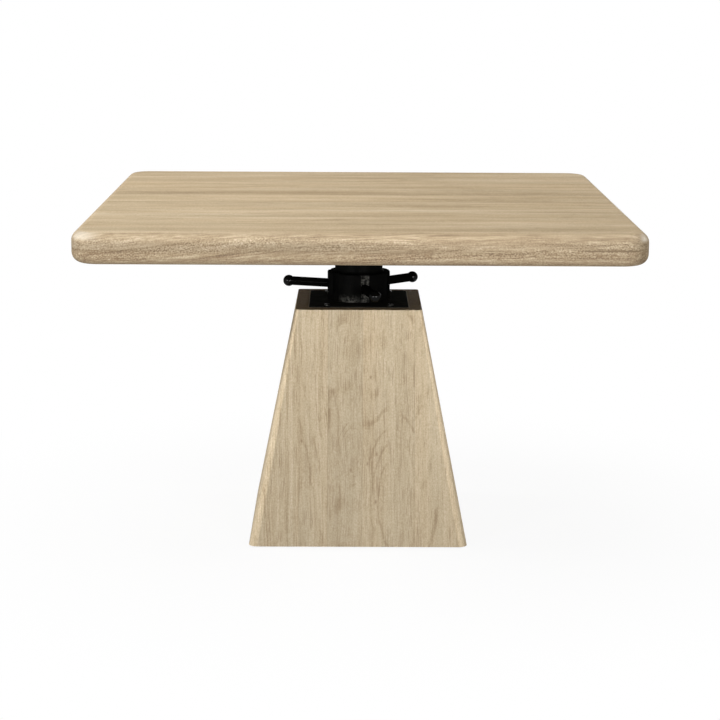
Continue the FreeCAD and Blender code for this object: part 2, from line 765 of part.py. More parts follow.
def lift_nut():
    """Model the flanged bronze nut that sits in the hub; its bore clears the screw's crests."""
    bore = f"({SCREW_R} + thread_fit)"
    seat = f"({HUB_TOP} - {NUT_FOOT})"
    head = f"({seat} + nut_flange_thick)"
    profile = [
        (bore, "0"),
        (HUB_BORE_R, "0"),
        (HUB_BORE_R, seat),
        (NECK_R, seat),
        (NECK_R, head),
        (bore, head),
    ]
    body = turned("lift_nut", profile)
    first = (NUT_SCREW_XY, NUT_SCREW_XY)
    hole = pocket(body, circle(body, "XY_Plane", first, "nut_screw_dia / 2", seat), "nut_flange_thick")
    polar(body, [hole], NUT_SCREW_COUNT)
    return keep(place(body, z=NUT_FOOT, turn="bar_angle"), "lift_nut")


def nut_screws():
    """Model the screws that hold the nut's flange to the hub's neck."""
    body = new_body("nut_screws", many=True)
    head_r = "nut_screw_head / 2"
    shank_r = "nut_screw_dia / 2"
    centre = (NUT_SCREW_XY, NUT_SCREW_XY)
    tip = "-(nut_flange_thick + nut_screw_bite)"
    shank = pad(body, circle(body, "XY_Plane", centre, shank_r, tip), "nut_flange_thick + nut_screw_bite")
    head = pad(body, circle(body, "XY_Plane", centre, head_r), "nut_screw_head_thick")
    polar(body, [shank, head], NUT_SCREW_COUNT)
    return keep(place(body, z=NUT_TOP, turn="bar_angle"), "nut_screws")


def handles():
    """Model the bar handles and the balls on their ends, evenly round the hub."""
    bar_r = "bar_dia / 2"
    stud_r = "stud_dia / 2"
    ball_r = "ball_dia / 2"
    spigot_r = "ball_spigot_dia / 2"
    stud_tip = f"-({HUB_BORE_R} + stud_land)"
    seat = f"-{SLOT_FLOOR_R}"
    flat = f"-(bar_reach - sqrt(({ball_r}) ^ 2 - ({bar_r}) ^ 2))"
    end = f"{flat} - ball_spigot_length"
    far = f"-(bar_reach + {ball_r})"
    bar_profile = [
        ("0", stud_tip),
        (stud_r, stud_tip),
        (stud_r, seat),
        (bar_r, seat),
        (bar_r, flat),
        (spigot_r, flat),
        (spigot_r, end),
        ("0", end),
    ]
    ball_profile = [("0", end), (spigot_r, end), (spigot_r, flat), (bar_r, flat), ("0", far)]
    ball_arc = {3: ((ball_r, "-bar_reach"), ball_r)}
    for number in range(HANDLE_COUNT):
        turn = f"bar_angle + {number} * 360 / {HANDLE_COUNT}"
        bar = new_body(f"handle_bar_{number + 1}")
        revolve(bar, outline(bar, "XY_Plane", bar_profile))
        keep(place(bar, z=f"{HUB_FOOT} + bar_height", turn=turn), bar.Name)
        ball = new_body(f"handle_ball_{number + 1}")
        revolve(ball, outline(ball, "XY_Plane", ball_profile, arcs=ball_arc))
        keep(place(ball, z=f"{HUB_FOOT} + bar_height", turn=turn), ball.Name)


def thrust_washer():
    """Model the thrust washer between the base plate and the hub."""
    ring = ring_profile(f"({TUBE_R} + washer_room)", f"({HUB_R} - washer_inset)", "washer_thick")
    return keep(place(turned("thrust_washer", ring), z=PLATE_TOP), "thrust_washer")


def retaining_ring():
    """Model the open spring ring in the tube's groove, which keeps the hub down on its washer."""
    ring = ring_profile(f"({TUBE_R} - ring_bite)", f"({TUBE_R} + ring_proud)", "ring_thick")
    body = turned("retaining_ring", ring)
    half = "ring_mouth / 2"
    corners = [(f"-{half}", "0"), (half, "0"), (half, f"2 * {TUBE_R}"), (f"-{half}", f"2 * {TUBE_R}")]
    pocket(body, outline(body, "XY_Plane", corners), "ring_thick")
    return keep(place(body, z=f"{HUB_FOOT} + bush_length + ring_gap"), "retaining_ring")


def guide_tube():
    """Model the steel tube welded through the base plate, grooved for the spring ring."""
    groove_r = f"({TUBE_R} - ring_bite)"
    groove_top = f"({TUBE_LENGTH} - ring_land)"
    groove_foot = f"({groove_top} - ring_thick)"
    profile = [
        (TUBE_BORE_R, "0"),
        (TUBE_R, "0"),
        (TUBE_R, groove_foot),
        (groove_r, groove_foot),
        (groove_r, groove_top),
        (TUBE_R, groove_top),
        (TUBE_R, TUBE_LENGTH),
        (TUBE_BORE_R, TUBE_LENGTH),
    ]
    body = turned("guide_tube", profile)
    first = ("0", "key_screw_inset")
    hole = circle(body, "XZ_Plane", first, "key_screw_dia / 2", lift=f"-2 * {TUBE_R}")
    cut = pocket(body, hole, f"2 * {TUBE_R} - {TUBE_BORE_R} / 2")
    row_of(body, [cut], "Z_Axis", KEY_SCREW_ROW, KEY_SCREW_COUNT)
    return keep(place(body, z=TUBE_FOOT), "guide_tube")


def guide_key():
    """Model the key along the inside of the tube, rounded at its back to the tube's bore."""
    body = new_body("guide_key")
    side = "(key_width / 2)"
    back = f"sqrt({TUBE_BORE_R} ^ 2 - {side} ^ 2)"
    corners = [(f"-{side}", KEY_FLAT), (side, KEY_FLAT), (side, back), (f"-{side}", back)]
    arcs = {2: (("0", TUBE_BORE_R), TUBE_BORE_R)}
    pad(body, outline(body, "XY_Plane", corners, arcs=arcs), f"{TUBE_LENGTH} - 2 * key_inset")
    first = ("0", "key_screw_inset - key_inset")
    hole = circle(body, "XZ_Plane", first, "key_screw_dia / 2", lift=f"-2 * {TUBE_R}")
    cut = pocket(body, hole, f"2 * {TUBE_R} - {TUBE_BORE_R} + key_screw_bite")
    row_of(body, [cut], "Z_Axis", KEY_SCREW_ROW, KEY_SCREW_COUNT)
    return keep(place(body, z=f"{TUBE_FOOT} + key_inset"), "guide_key")


def key_screws():
    """Model the screws that hold the key through the tube's wall, below the deck."""
    body = new_body("key_screws", many=True)
    tip = f"({TUBE_BORE_R} - key_screw_bite)"
    head = f"({TUBE_R} + key_screw_head_thick)"
    shank_r = "key_screw_dia / 2"
    head_r = "key_screw_head / 2"
    profile = [("0", tip), (shank_r, tip), (shank_r, TUBE_R), (head_r, TUBE_R), (head_r, head), ("0", head)]
    first = revolve(body, outline(body, "XY_Plane", profile))
    row_of(body, [first], "Z_Axis", KEY_SCREW_ROW, KEY_SCREW_COUNT)
    return keep(place(body, z=f"{TUBE_FOOT} + key_screw_inset"), "key_screws")


def base_plate():
    """Model the steel plate on the pyramid: rounded corners, eased top rim, tube hole and screw holes."""
    body = new_body("base_plate")
    pad(body, rectangle(body, "XY_Plane", PLATE_SIZE, PLATE_SIZE), "plate_thick")
    round_edges(body, "plate_corner_r", is_upright)
    round_edges(body, "plate_edge_r", lies_at(amount("plate_thick")))
    pocket(body, circle(body, "XY_Plane", ("0", "0"), TUBE_R), "plate_thick")
    first = (f"-{PLATE_SCREW_X}", f"-{PLATE_SCREW_Y}")
    hole = pocket(body, circle(body, "XY_Plane", first, "plate_screw_dia / 2"), "plate_thick")
    grid_of(body, [hole], PLATE_SCREW_GRID)
    return keep(place(body, z=WOOD_TOP), "base_plate")


def base_plate_screws():
    """Model the screws that hold the base plate to the deck."""
    body, first = screws("base_plate_screws", "plate_screw", "plate_thick + plate_screw_bite", True)
    grid_of(body, [first], PLATE_SCREW_GRID)
    return keep(place(body, f"-{PLATE_SCREW_X}", f"-{PLATE_SCREW_Y}", PLATE_TOP), "base_plate_screws")


def top_deck():
    """Model the deck inside the pyramid's top, bored for the guide tube and the plate's screws."""
    blank = frustum("deck_blank", f"{WOOD_TOP} - deck_thick", "deck_thick", INNER_UNDER_DECK, INNER_TOP)
    drills = new_body("deck_drills", many=True)
    first = (f"-{PLATE_SCREW_X}", f"-{PLATE_SCREW_Y}")
    tip = f"{WOOD_TOP} - plate_screw_bite"
    pilot = pad(drills, circle(drills, "XY_Plane", first, "plate_screw_dia / 2", tip), "plate_screw_bite")
    grid_of(drills, [pilot], PLATE_SCREW_GRID)
    foot = f"{WOOD_TOP} - deck_thick"
    pad(drills, circle(drills, "XY_Plane", ("0", "0"), f"({TUBE_R} + deck_room)", foot), "deck_thick")
    return keep(joined("Cut", "top_deck", blank, drills), "top_deck")


def pyramid_panels():
    """Cut the hollow pyramid into four mitred panels, each of upright staves glued side by side."""
    outer = frustum("pyramid", "glide_thick", "base_height", "(base_bottom / 2)", "(base_top / 2)")
    doc.recompute()
    rounded = doc.addObject("Part::Fillet", "rounded_pyramid")
    rounded.Base = outer
    edges = []
    for number, edge in enumerate(outer.Shape.Edges, start=1):
        start, stop = edge.firstVertex().Point.z, edge.lastVertex().Point.z
        if abs(start - stop) > TOUCH:
            radii = [amount("corner_r_bottom"), amount("corner_r_top")]
            edges.append((number, *(radii if start < stop else reversed(radii))))
    rounded.Edges = edges
    hollow = frustum("hollow", "glide_thick", "base_height", INNER_BOTTOM, INNER_TOP)
    shell = joined("Cut", "pyramid_shell", rounded, hollow)
    mitre = doc.addObject("Part::Wedge", "mitre")
    bind(mitre, Xmin="-base_bottom", Xmax="base_bottom", X2min="0", X2max="0")
    bind(mitre, Ymin="-base_bottom", Ymax="0")
    bind(mitre, Zmin="0", Zmax=WOOD_TOP, Z2min="0", Z2max=WOOD_TOP)
    panel = joined("Common", "panel_blank", shell, mitre)
    stops = ["-base_bottom / 2"] + list(STAVE_JOINTS) + ["base_bottom / 2"]
    staves = []
    for number, (start, stop) in enumerate(zip(stops, stops[1:]), start=1):
        low = (start, "-base_bottom", "0")
        cut = brick(f"stave_cut_{number}", low, (f"{stop} - ({start})", "base_bottom", WOOD_TOP))
        staves.append(joined("Common", f"stave_{number}", panel, cut))
    for quarter, side in enumerate(SIDES):
        made = doc.addObject("Part::Compound", f"{side}_panel")
        made.Links = staves
        keep(place(made, turn=f"{quarter} * 90"), f"{side}_panel")


def deck_cleats():
    """Model the four cleats under the deck, planed to the slope of the panels."""
    foot = f"({WOOD_TOP} - deck_thick - cleat_size)"
    inner_foot = f"({INNER_UNDER_DECK} + {SLOPE} * cleat_size)"
    inside = frustum("cleat_space", foot, "cleat_size", inner_foot, INNER_UNDER_DECK)
    half = f"({INNER_UNDER_DECK} - corner_block - block_gap)"
    low = (f"-{half}", "-base_bottom", foot)
    reach = f"base_bottom - {INNER_UNDER_DECK} + cleat_size"
    cut = brick("cleat_cut", low, (f"2 * {half}", reach, "cleat_size"))
    cleat = joined("Common", "cleat", inside, cut)
    cleats = [turned_copy(cleat, f"cleat_{side}", f"{n} * 90") for n, side in enumerate(SIDES)]
    return group("deck_cleats", cleats)


def corner_blocks():
    """Model the leaning three-cornered blocks glued into the mitred corners."""
    body = new_body("corner_block_blank")
    at = INNER_OVER_BOTTOM
    tip = f"-{at} + corner_block"
    corners = [(f"-{at}", f"-{at}"), (tip, f"-{at}"), (f"-{at}", tip)]
    height = "(base_height - deck_thick - bottom_thick)"
    feature = pad(body, outline(body, "XY_Plane", corners), height)
    feature.UseCustomVector = True
    bind(feature, Direction__x=SLOPE, Direction__y=SLOPE, Direction__z="1")
    feature.AlongSketchNormal = True
    place(body, z="glide_thick + bottom_thick")
    copies = [turned_copy(body, f"corner_block_{n + 1}", f"{n} * 90") for n in range(len(SIDES))]
    return group("corner_blocks", copies)


def bottom_panel():
    """Model the panel that closes the pyramid's underside."""
    panel = frustum("bottom_panel", "glide_thick", "bottom_thick", INNER_BOTTOM, INNER_OVER_BOTTOM)
    return keep(panel, "bottom_panel")


def floor_glides():
    """Model the four bevelled glides under the bottom panel."""
    body = new_body("floor_glides", many=True)
    radius = "(glide_dia / 2)"
    profile = [
        ("0", "0"),
        (f"{radius} - glide_bevel", "0"),
        (radius, "glide_bevel"),
        (radius, "glide_thick"),
        ("0", "glide_thick"),
    ]
    first = revolve(body, outline(body, "XZ_Plane", profile))
    span = "(base_bottom - 2 * glide_inset)"
    grid_of(body, [first], [(axis, span, PAIR_COUNT) for axis in ("X_Axis", "Y_Axis")])
    return keep(place(body, f"-{span} / 2", f"-{span} / 2"), "floor_glides")


# Pyramid base
floor_glides()
bottom_panel()
pyramid_panels()
corner_blocks()
deck_cleats()
top_deck()
base_plate()
base_plate_screws()
guide_tube()
guide_key()
key_screws()
thrust_washer()
retaining_ring()

# Capstan
capstan_hub()
hub_bush()
lift_nut()
nut_screws()
handles()

# Tabletop with its lift screw
lift_screw()
guide_shoe()
shoe_washer()
shoe_bolt()
screw_socket()
socket_pin()
socket_bolts()
top_plate()
top_plate_bolts()
batten("left", -1)
batten("right", 1)
batten_screws()
blank = slab_blank()
edge_strips(blank)
top_boards(blank)
doc.recompute()

# Every object must have been worked out, and every piece must be sound, before anything is written
for item in doc.Objects:
    if "Invalid" in item.State or "Error" in item.State:
        raise RuntimeError(f"{item.Label} could not be worked out: {item.State}")
for piece in nodes:
    if piece.Shape.isNull() or not piece.Shape.isValid() or not piece.Shape.Solids:
        raise RuntimeError(f"{piece.Label} is not a sound solid")

os.makedirs("parts", exist_ok=True)
for piece in nodes:
    piece.Shape.exportStep(f"parts/{piece.Label}.step")
    print(f"{piece.Label}: {len(piece.Shape.Solids)} solid(s), {piece.Shape.Volume / 1000:.1f} cm3")
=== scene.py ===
import math
import bpy
import numpy as np
from mathutils import Matrix, Vector


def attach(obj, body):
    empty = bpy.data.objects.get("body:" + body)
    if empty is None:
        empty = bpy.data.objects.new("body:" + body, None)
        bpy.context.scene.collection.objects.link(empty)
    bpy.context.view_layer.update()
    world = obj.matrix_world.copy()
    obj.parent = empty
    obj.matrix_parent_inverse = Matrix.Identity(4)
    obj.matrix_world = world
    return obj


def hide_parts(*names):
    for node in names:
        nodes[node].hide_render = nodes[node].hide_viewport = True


# Height-adjustable table: a hollow wooden pyramid, a cast capstan that turns on it, and a slab top
# on a screw. Metres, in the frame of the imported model: floor at z = 0, front towards -Y.
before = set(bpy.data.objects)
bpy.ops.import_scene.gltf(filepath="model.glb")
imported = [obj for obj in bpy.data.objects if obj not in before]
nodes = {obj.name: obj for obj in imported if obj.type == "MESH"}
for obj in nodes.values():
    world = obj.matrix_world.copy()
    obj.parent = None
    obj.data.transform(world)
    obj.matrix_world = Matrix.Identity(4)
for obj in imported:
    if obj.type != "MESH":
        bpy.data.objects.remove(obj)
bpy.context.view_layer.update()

# Pyramid panels
# Four leaning panels, mitred at the corners, each glued up from five upright staves of pale hardwood.
# They are planed, wire-brushed, washed with thin grey-white pigment and sealed with a dead-matt lacquer.
PANELS = ("front_panel", "right_panel", "back_panel", "left_panel")
LEAN_IN, LEAN_HEIGHT = 0.1055, 0.5334
PANEL_LEAN = math.atan2(LEAN_IN, LEAN_HEIGHT)
STAVE_JOINTS = (-0.136, -0.070, 0.009, 0.129)
# The pith behind each stave, across the panel: far to one side for straight grain, behind it for arches
STAVE_PITHS = (-0.34, -0.26, -0.005, 0.027, 0.36)
# How bold the streaks and fibres are in each stave
STAVE_LINES = (1.40, 1.35, 0.85, 0.85, 0.85)
STAVE_TONES = {
    "front_panel": (0.985, 0.965, 0.94, 1.015, 1.04),
    "right_panel": (0.98, 1.03, 0.99, 1.02, 0.97),
    "back_panel": (1.02, 0.98, 1.01, 0.97, 1.03),
    "left_panel": (0.97, 1.01, 1.03, 0.98, 1.0),
}
# Swellings of the trunk that turn straight rings into arches: place, half width, half height, depth
PANEL_ARCHES = {
    "front_panel": (
        (0.080, 0.130, 0.080, 0.240, -0.020),
        (-0.014, 0.215, 0.045, 0.090, -0.030),
        (0.036, 0.352, 0.030, 0.090, 0.004),
    ),
    "right_panel": ((-0.010, 0.120, 0.090, 0.240, -0.018), (0.060, 0.380, 0.040, 0.120, 0.005)),
    "back_panel": ((0.050, 0.250, 0.100, 0.240, -0.016), (-0.020, 0.120, 0.040, 0.110, -0.012)),
    "left_panel": ((0.030, 0.300, 0.090, 0.240, -0.018), (-0.030, 0.110, 0.040, 0.100, 0.005)),
}
# Pin knots, drawn out along the grain: place across the panel, height and radius
KNOT_SQUASH = 0.6
PANEL_KNOTS = {
    "front_panel": (
        (0.028, 0.385, 0.0026),
        (0.042, 0.212, 0.0030),
        (-0.017, 0.176, 0.0030),
        (0.021, 0.190, 0.0024),
        (-0.130, 0.241, 0.0024),
        (0.040, 0.104, 0.0028),
    ),
    "right_panel": ((-0.052, 0.305, 0.0028), (0.075, 0.120, 0.003)),
    "back_panel": ((0.060, 0.330, 0.0028), (-0.100, 0.140, 0.003), (0.020, 0.090, 0.0024)),
    "left_panel": ((-0.030, 0.230, 0.003), (0.100, 0.400, 0.0024)),
}
# How fast the trunk narrows upwards, which draws flat-sawn rings out into long pointed arches
TAPER = 0.045
# Metres along the log from one stave's cut to the next, and from one piece's cut to the next
STAVE_STEP, PIECE_STEP = 2.3, 3.7
PORE_BROWN = "#836c52"
# Sizes in millimetres along and across the grain, each with the share of tone that it gives
PANEL_WOOD = {
    "stops": ((0.05, "#a18e73"), (0.38, "#b7a68b"), (0.62, "#c2b298"), (0.95, "#d3c5ad")),
    "ring": (8, 0.16),
    "line": (7, 0.21),
    "streak": (600, 9, 0.62),
    "cloud": (340, 80, 0.28),
    "fibre": (320, 2.3, 0.58),
    "pore": (55, 2.1, 0.52),
    "speck": (2.8, 0.80),
    # End tints: end grain, and painted shade on the top ends, which lie in the dark under the top
    "end_tints_and_shade": ("#e0e0e0", "#aca293"),
    # Corner highlight: a painted highlight where a corner begins to turn
    "corner_highlight": 0.24,
    # Foot: painted shade, darker towards the floor, lighter at the top
    "foot": (0.925, 1.06),
}


def linear(code):
    """Turn an sRGB hex colour into linear red, green, blue and alpha."""
    srgb = np.array([int(code[i : i + 2], 16) for i in (1, 3, 5)]) / 255
    rgb = np.where(srgb <= 0.04045, srgb / 12.92, ((srgb + 0.055) / 1.055) ** 2.4)
    return (*rgb.tolist(), 1.0)


def add(tree, kind, inputs, stops=(), **settings):
    """Add a node, set its properties and colour stops, and fill inputs with values, sockets or nodes."""
    node = tree.nodes.new(kind)
    for key, value in settings.items():
        setattr(node, key, value)
    for i, (position, code) in enumerate(stops):
        if i > 1:
            node.color_ramp.elements.new(position)
        node.color_ramp.elements[i].position = position
        node.color_ramp.elements[i].color = linear(code)
    for key, value in inputs.items():
        if isinstance(value, bpy.types.Node):
            value = value.outputs[0]
        if isinstance(value, bpy.types.NodeSocket):
            tree.links.new(value, node.inputs[key])
        else:
            node.inputs[key].default_value = value
    return node


def new_material(name):
    """Start a material and give back its node tree and its shader."""
    material = bpy.data.materials.new(name)
    material.use_nodes = True
    return material, material.node_tree, material.node_tree.nodes["Principled BSDF"]


def dress(node, material):
    """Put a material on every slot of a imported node."""
    for slot in nodes[node].material_slots:
        slot.material = material


def grain_noise(tree, point, along, across, detail):
    """Noise drawn out along X, the grain: its lumps are along x across x across millimetres."""
    scale = (1000 / along, 1000 / across, 1000 / across)
    squeezed = add(tree, "ShaderNodeMapping", {"Vector": point, "Scale": scale})
    return add(tree, "ShaderNodeTexNoise", {"Vector": squeezed, "Scale": 1.0, "Detail": detail})


def weigh(tree, shares):
    """Middle tone, 0.5, plus the swing of each noise about its own middle times its share."""
    mixed = 0.5
    for noise, share in shares:
        swing = add(tree, "ShaderNodeMath", {0: noise, 1: 0.5}, operation="SUBTRACT")
        mixed = add(tree, "ShaderNodeMath", {0: swing, 1: share, 2: mixed}, operation="MULTIPLY_ADD")
    return mixed


def washed_hardwood(
    name,
    turn,
    pith,
    seed,
    stops,
    ring,
    line,
    streak,
    cloud,
    fibre,
    pore,
    speck,
    end_tints_and_shade=("#ececea", "#dcdad6"),
    corner_highlight=0.0,
    foot=(),
    rim=(),
    joints=(),
    tones=(1.0,),
    piths=(0.0,),
    lines=(1.0,),
    arches=(),
    knots=(),
):
    """Pale washed hardwood cut from one log.

    The point is turned so that the grain runs along X and the pith is the X axis, then bent by slow noise.
    Its distance from the axis drives a one-dimensional noise, the year rings, so that faces, edges and
    ends all cut the same log. The end of each year's growth is drawn as a thin line that comes and goes.
    Swellings add to that distance and make arches. Noises drawn out along X add streaks, clouds of pigment,
    fibres and open pores, which crowd along the lines, and a fine even noise adds specks of pigment.
    Staves are told apart by the place across the panel: each has its own tone, pith, boldness of lines and
    stretch of the log. End tints darken the two cut ends, partly because end grain drinks the lacquer and
    partly as painted shade, deeper at the end that gets less light. Foot is the tone at the bottom and at
    the top, a painted shade that darkens the wood towards the floor and lightens it at the top. Corner
    highlight is how much paler a painted highlight makes the face where a corner begins to turn. Rim gives
    colour stops for the torn grain on faces that look sideways.
    """
    material, tree, shader = new_material(name)
    place = add(tree, "ShaderNodeTexCoord", {}).outputs["Object"]
    about_z, to_grain = turn
    panel = add(tree, "ShaderNodeMapping", {"Vector": place, "Rotation": (0, 0, about_z)})
    across = add(tree, "ShaderNodeSeparateXYZ", {"Vector": panel}).outputs["X"]
    # Number, tone, pith and boldness of the stave that the point is in, and how near its joint is
    numbers = range(len(joints) + 1)
    own = [0.0, tones[0], piths[0], lines[0]]
    seam = 1.0
    for i, joint in enumerate(joints):
        past = add(tree, "ShaderNodeMath", {0: across, 1: joint}, operation="GREATER_THAN")
        for k, values in enumerate((numbers, tones, piths, lines)):
            step = values[i + 1] - values[i]
            own[k] = add(tree, "ShaderNodeMath", {0: past, 1: step, 2: own[k]}, operation="MULTIPLY_ADD")
        gap = add(tree, "ShaderNodeMath", {0: across, 1: joint}, operation="SUBTRACT")
        gap = add(tree, "ShaderNodeMath", {0: gap}, operation="ABSOLUTE")
        seam = add(tree, "ShaderNodeMath", {0: gap, 1: seam}, operation="MINIMUM")
    stave, tone, middle, bold = own
    moved = add(tree, "ShaderNodeCombineXYZ", {"X": middle, "Z": stave})
    moved = add(tree, "ShaderNodeVectorMath", {0: moved, 1: (-1, 0, STAVE_STEP)}, operation="MULTIPLY")
    moved = add(tree, "ShaderNodeVectorMath", {0: moved, 1: panel}, operation="ADD")
    shift = -(to_grain @ Vector(pith)) + Vector((PIECE_STEP * seed, 0, 0))
    log = add(
        tree,
        "ShaderNodeMapping",
        {"Vector": moved, "Rotation": to_grain.to_euler(), "Location": shift},
    )
    # The trunk's slow bends and the small waver of the fibres
    bent = log
    for scale, detail, reach in ((3.0, 1.0, 0.02), (16.0, 2.0, 0.006)):
        bend = add(tree, "ShaderNodeTexNoise", {"Vector": log, "Scale": scale, "Detail": detail})
        bend = add(
            tree,
            "ShaderNodeVectorMath",
            {0: bend.outputs["Color"], 1: (0.5, 0.5, 0.5)},
            operation="SUBTRACT",
        )
        bent = add(
            tree,
            "ShaderNodeVectorMath",
            {0: bend, 1: (0, reach, reach), 2: bent},
            operation="MULTIPLY_ADD",
        )
    out = add(tree, "ShaderNodeVectorMath", {0: bent, 1: (0, 1, 1)}, operation="MULTIPLY")
    radius = add(tree, "ShaderNodeVectorMath", {0: out}, operation="LENGTH").outputs["Value"]
    along = add(tree, "ShaderNodeSeparateXYZ", {"Vector": bent}).outputs["X"]
    radius = add(tree, "ShaderNodeMath", {0: along, 1: TAPER, 2: radius}, operation="MULTIPLY_ADD")
    for x, z, half_width, half_height, depth in arches:
        squash = (1 / half_width, 0, 1 / half_height)
        centre = (x / half_width, 0, z / half_height)
        near = add(tree, "ShaderNodeVectorMath", {0: panel, 1: squash}, operation="MULTIPLY")
        near = add(tree, "ShaderNodeVectorMath", {0: near, 1: centre}, operation="DISTANCE")
        near = near.outputs["Value"]
        push = add(
            tree,
            "ShaderNodeMapRange",
            {"Value": near, "From Min": 0.0, "From Max": 1.0, "To Min": depth, "To Max": 0.0},
            interpolation_type="SMOOTHERSTEP",
        )
        radius = add(tree, "ShaderNodeMath", {0: radius, 1: push}, operation="ADD")
    eye = 0.0
    for x, z, size in knots:
        centre = (x, 0, KNOT_SQUASH * z)
        flat = add(tree, "ShaderNodeVectorMath", {0: panel, 1: (1, 0, KNOT_SQUASH)}, operation="MULTIPLY")
        near = add(tree, "ShaderNodeVectorMath", {0: flat, 1: centre}, operation="DISTANCE")
        near = near.outputs["Value"]
        spot = add(
            tree,
            "ShaderNodeMapRange",
            {"Value": near, "From Min": 0.0, "From Max": 1.6 * size, "To Min": 0.75, "To Max": 0.0},
            interpolation_type="SMOOTHSTEP",
        )
        eye = add(tree, "ShaderNodeMath", {0: spot, 1: eye}, operation="MAXIMUM")
    # Tone of the wood from rings, lines, streaks, clouds, fibres and specks
    rings = add(
        tree,
        "ShaderNodeTexNoise",
        {"W": radius, "Scale": 1000 / ring[0], "Detail": 2.0, "Roughness": 0.6},
        noise_dimensions="1D",
    )
    years = add(tree, "ShaderNodeMath", {0: radius, 1: 1000 / line[0]}, operation="MULTIPLY")
    years = add(tree, "ShaderNodeMath", {0: years, 1: 0.5}, operation="PINGPONG")
    years = add(
        tree,
        "ShaderNodeMapRange",
        {"Value": years, "From Min": 0.02, "From Max": 0.16, "To Min": 1.0, "To Max": 0.0},
        interpolation_type="SMOOTHSTEP",
    )
    shown = grain_noise(tree, bent, 150, 30, 1.0)
    shown = add(tree, "ShaderNodeMapRange", {"Value": shown, "From Min": 0.40, "From Max": 0.62})
    years = add(tree, "ShaderNodeMath", {0: years, 1: shown}, operation="MULTIPLY")
    streaks = grain_noise(tree, bent, streak[0], streak[1], 3.0)
    clouds = grain_noise(tree, bent, cloud[0], cloud[1], 2.0)
    fibres = grain_noise(tree, bent, fibre[0], fibre[1], 2.0)
    specks = grain_noise(tree, bent, 1.4 * speck[0], speck[0], 1.0)
    streak_share = add(tree, "ShaderNodeMath", {0: bold, 1: streak[2]}, operation="MULTIPLY")
    fibre_share = add(tree, "ShaderNodeMath", {0: bold, 1: fibre[2]}, operation="MULTIPLY")
    mixed = weigh(
        tree,
        (
            (rings, ring[1]),
            (streaks, streak_share),
            (clouds, cloud[2]),
            (fibres, fibre_share),
            (specks, speck[1]),
        ),
    )
    mixed = add(tree, "ShaderNodeMath", {0: years, 1: -line[1], 2: mixed}, operation="MULTIPLY_ADD")
    wood = add(tree, "ShaderNodeValToRGB", {"Fac": mixed}, stops=stops)
    normal = add(tree, "ShaderNodeNewGeometry", {}).outputs["Normal"]
    if rim:
        upward = add(tree, "ShaderNodeSeparateXYZ", {"Vector": normal}).outputs["Z"]
        wood = torn_rim(tree, wood, rim, panel, upward, clouds)
    # The wash leaves some stretches greener and greyer, others warmer
    hue = grain_noise(tree, bent, 480, 55, 1.0)
    hue = add(tree, "ShaderNodeValToRGB", {"Fac": hue}, stops=((0.36, "#fffefb"), (0.64, "#fbfcfb")))
    wood = add(tree, "ShaderNodeVectorMath", {0: wood, 1: hue}, operation="MULTIPLY")
    # End grain drinks the lacquer and stays darker; the tints are also painted shade, deeper at the end
    # that gets less light
    grain = (Matrix.Rotation(about_z, 3, "Z").transposed() @ to_grain.transposed()) @ Vector((1, 0, 0))
    facing = add(tree, "ShaderNodeVectorMath", {0: normal, 1: grain}, operation="DOT_PRODUCT")
    for tint, start, full in ((end_tints_and_shade[0], -0.70, -0.97), (end_tints_and_shade[1], 0.42, 0.68)):
        end = add(
            tree,
            "ShaderNodeMapRange",
            {"Value": facing.outputs["Value"], "From Min": start, "From Max": full},
        )
        wood = add(
            tree,
            "ShaderNodeMix",
            {0: end, 6: wood, 7: linear(tint)},
            data_type="RGBA",
            blend_type="MULTIPLY",
        ).outputs[2]
    # Painted highlights at the slab's corners
    if rim:
        wood = painted_corner_highlights(tree, wood, place, upward)
    # Tone of the stave, painted shade towards the foot, a painted highlight where a corner begins to turn,
    # and hair lines of glue between the staves
    shade = tone
    if foot:
        height = add(tree, "ShaderNodeSeparateXYZ", {"Vector": place}).outputs["Z"]
        rise = add(
            tree,
            "ShaderNodeMapRange",
            {"Value": height, "From Min": 0.05, "From Max": 0.50, "To Min": foot[0], "To Max": foot[1]},
        )
        shade = add(tree, "ShaderNodeMath", {0: shade, 1: rise}, operation="MULTIPLY")
    # Painted highlight: paler where a corner begins to turn, where the side lamps would glint
    if corner_highlight:
        side_x = Matrix.Rotation(about_z, 3, "Z").transposed() @ Vector((1, 0, 0))
        turned = add(tree, "ShaderNodeVectorMath", {0: normal, 1: side_x}, operation="DOT_PRODUCT")
        turned = add(tree, "ShaderNodeMath", {0: turned.outputs["Value"]}, operation="ABSOLUTE")
        begun = add(
            tree,
            "ShaderNodeMapRange",
            {"Value": turned, "From Min": 0.03, "From Max": 0.16, "To Min": 0.0, "To Max": corner_highlight},
            interpolation_type="SMOOTHSTEP",
        )
        kept = add(
            tree,
            "ShaderNodeMapRange",
            {"Value": turned, "From Min": 0.55, "From Max": 0.99, "To Min": 1.0, "To Max": 0.35},
            interpolation_type="SMOOTHSTEP",
        )
        pale = add(tree, "ShaderNodeMath", {0: begun, 1: kept, 2: 1.0}, operation="MULTIPLY_ADD")
        shade = add(tree, "ShaderNodeMath", {0: shade, 1: pale}, operation="MULTIPLY")
    if joints:
        hair = add(
            tree,
            "ShaderNodeMapRange",
            {"Value": seam, "From Min": 0.0004, "From Max": 0.0014, "To Min": 0.90, "To Max": 1.0},
        )
        shade = add(tree, "ShaderNodeMath", {0: shade, 1: hair}, operation="MULTIPLY")
    wood = add(tree, "ShaderNodeVectorMath", {0: wood, "Scale": shade}, operation="SCALE")
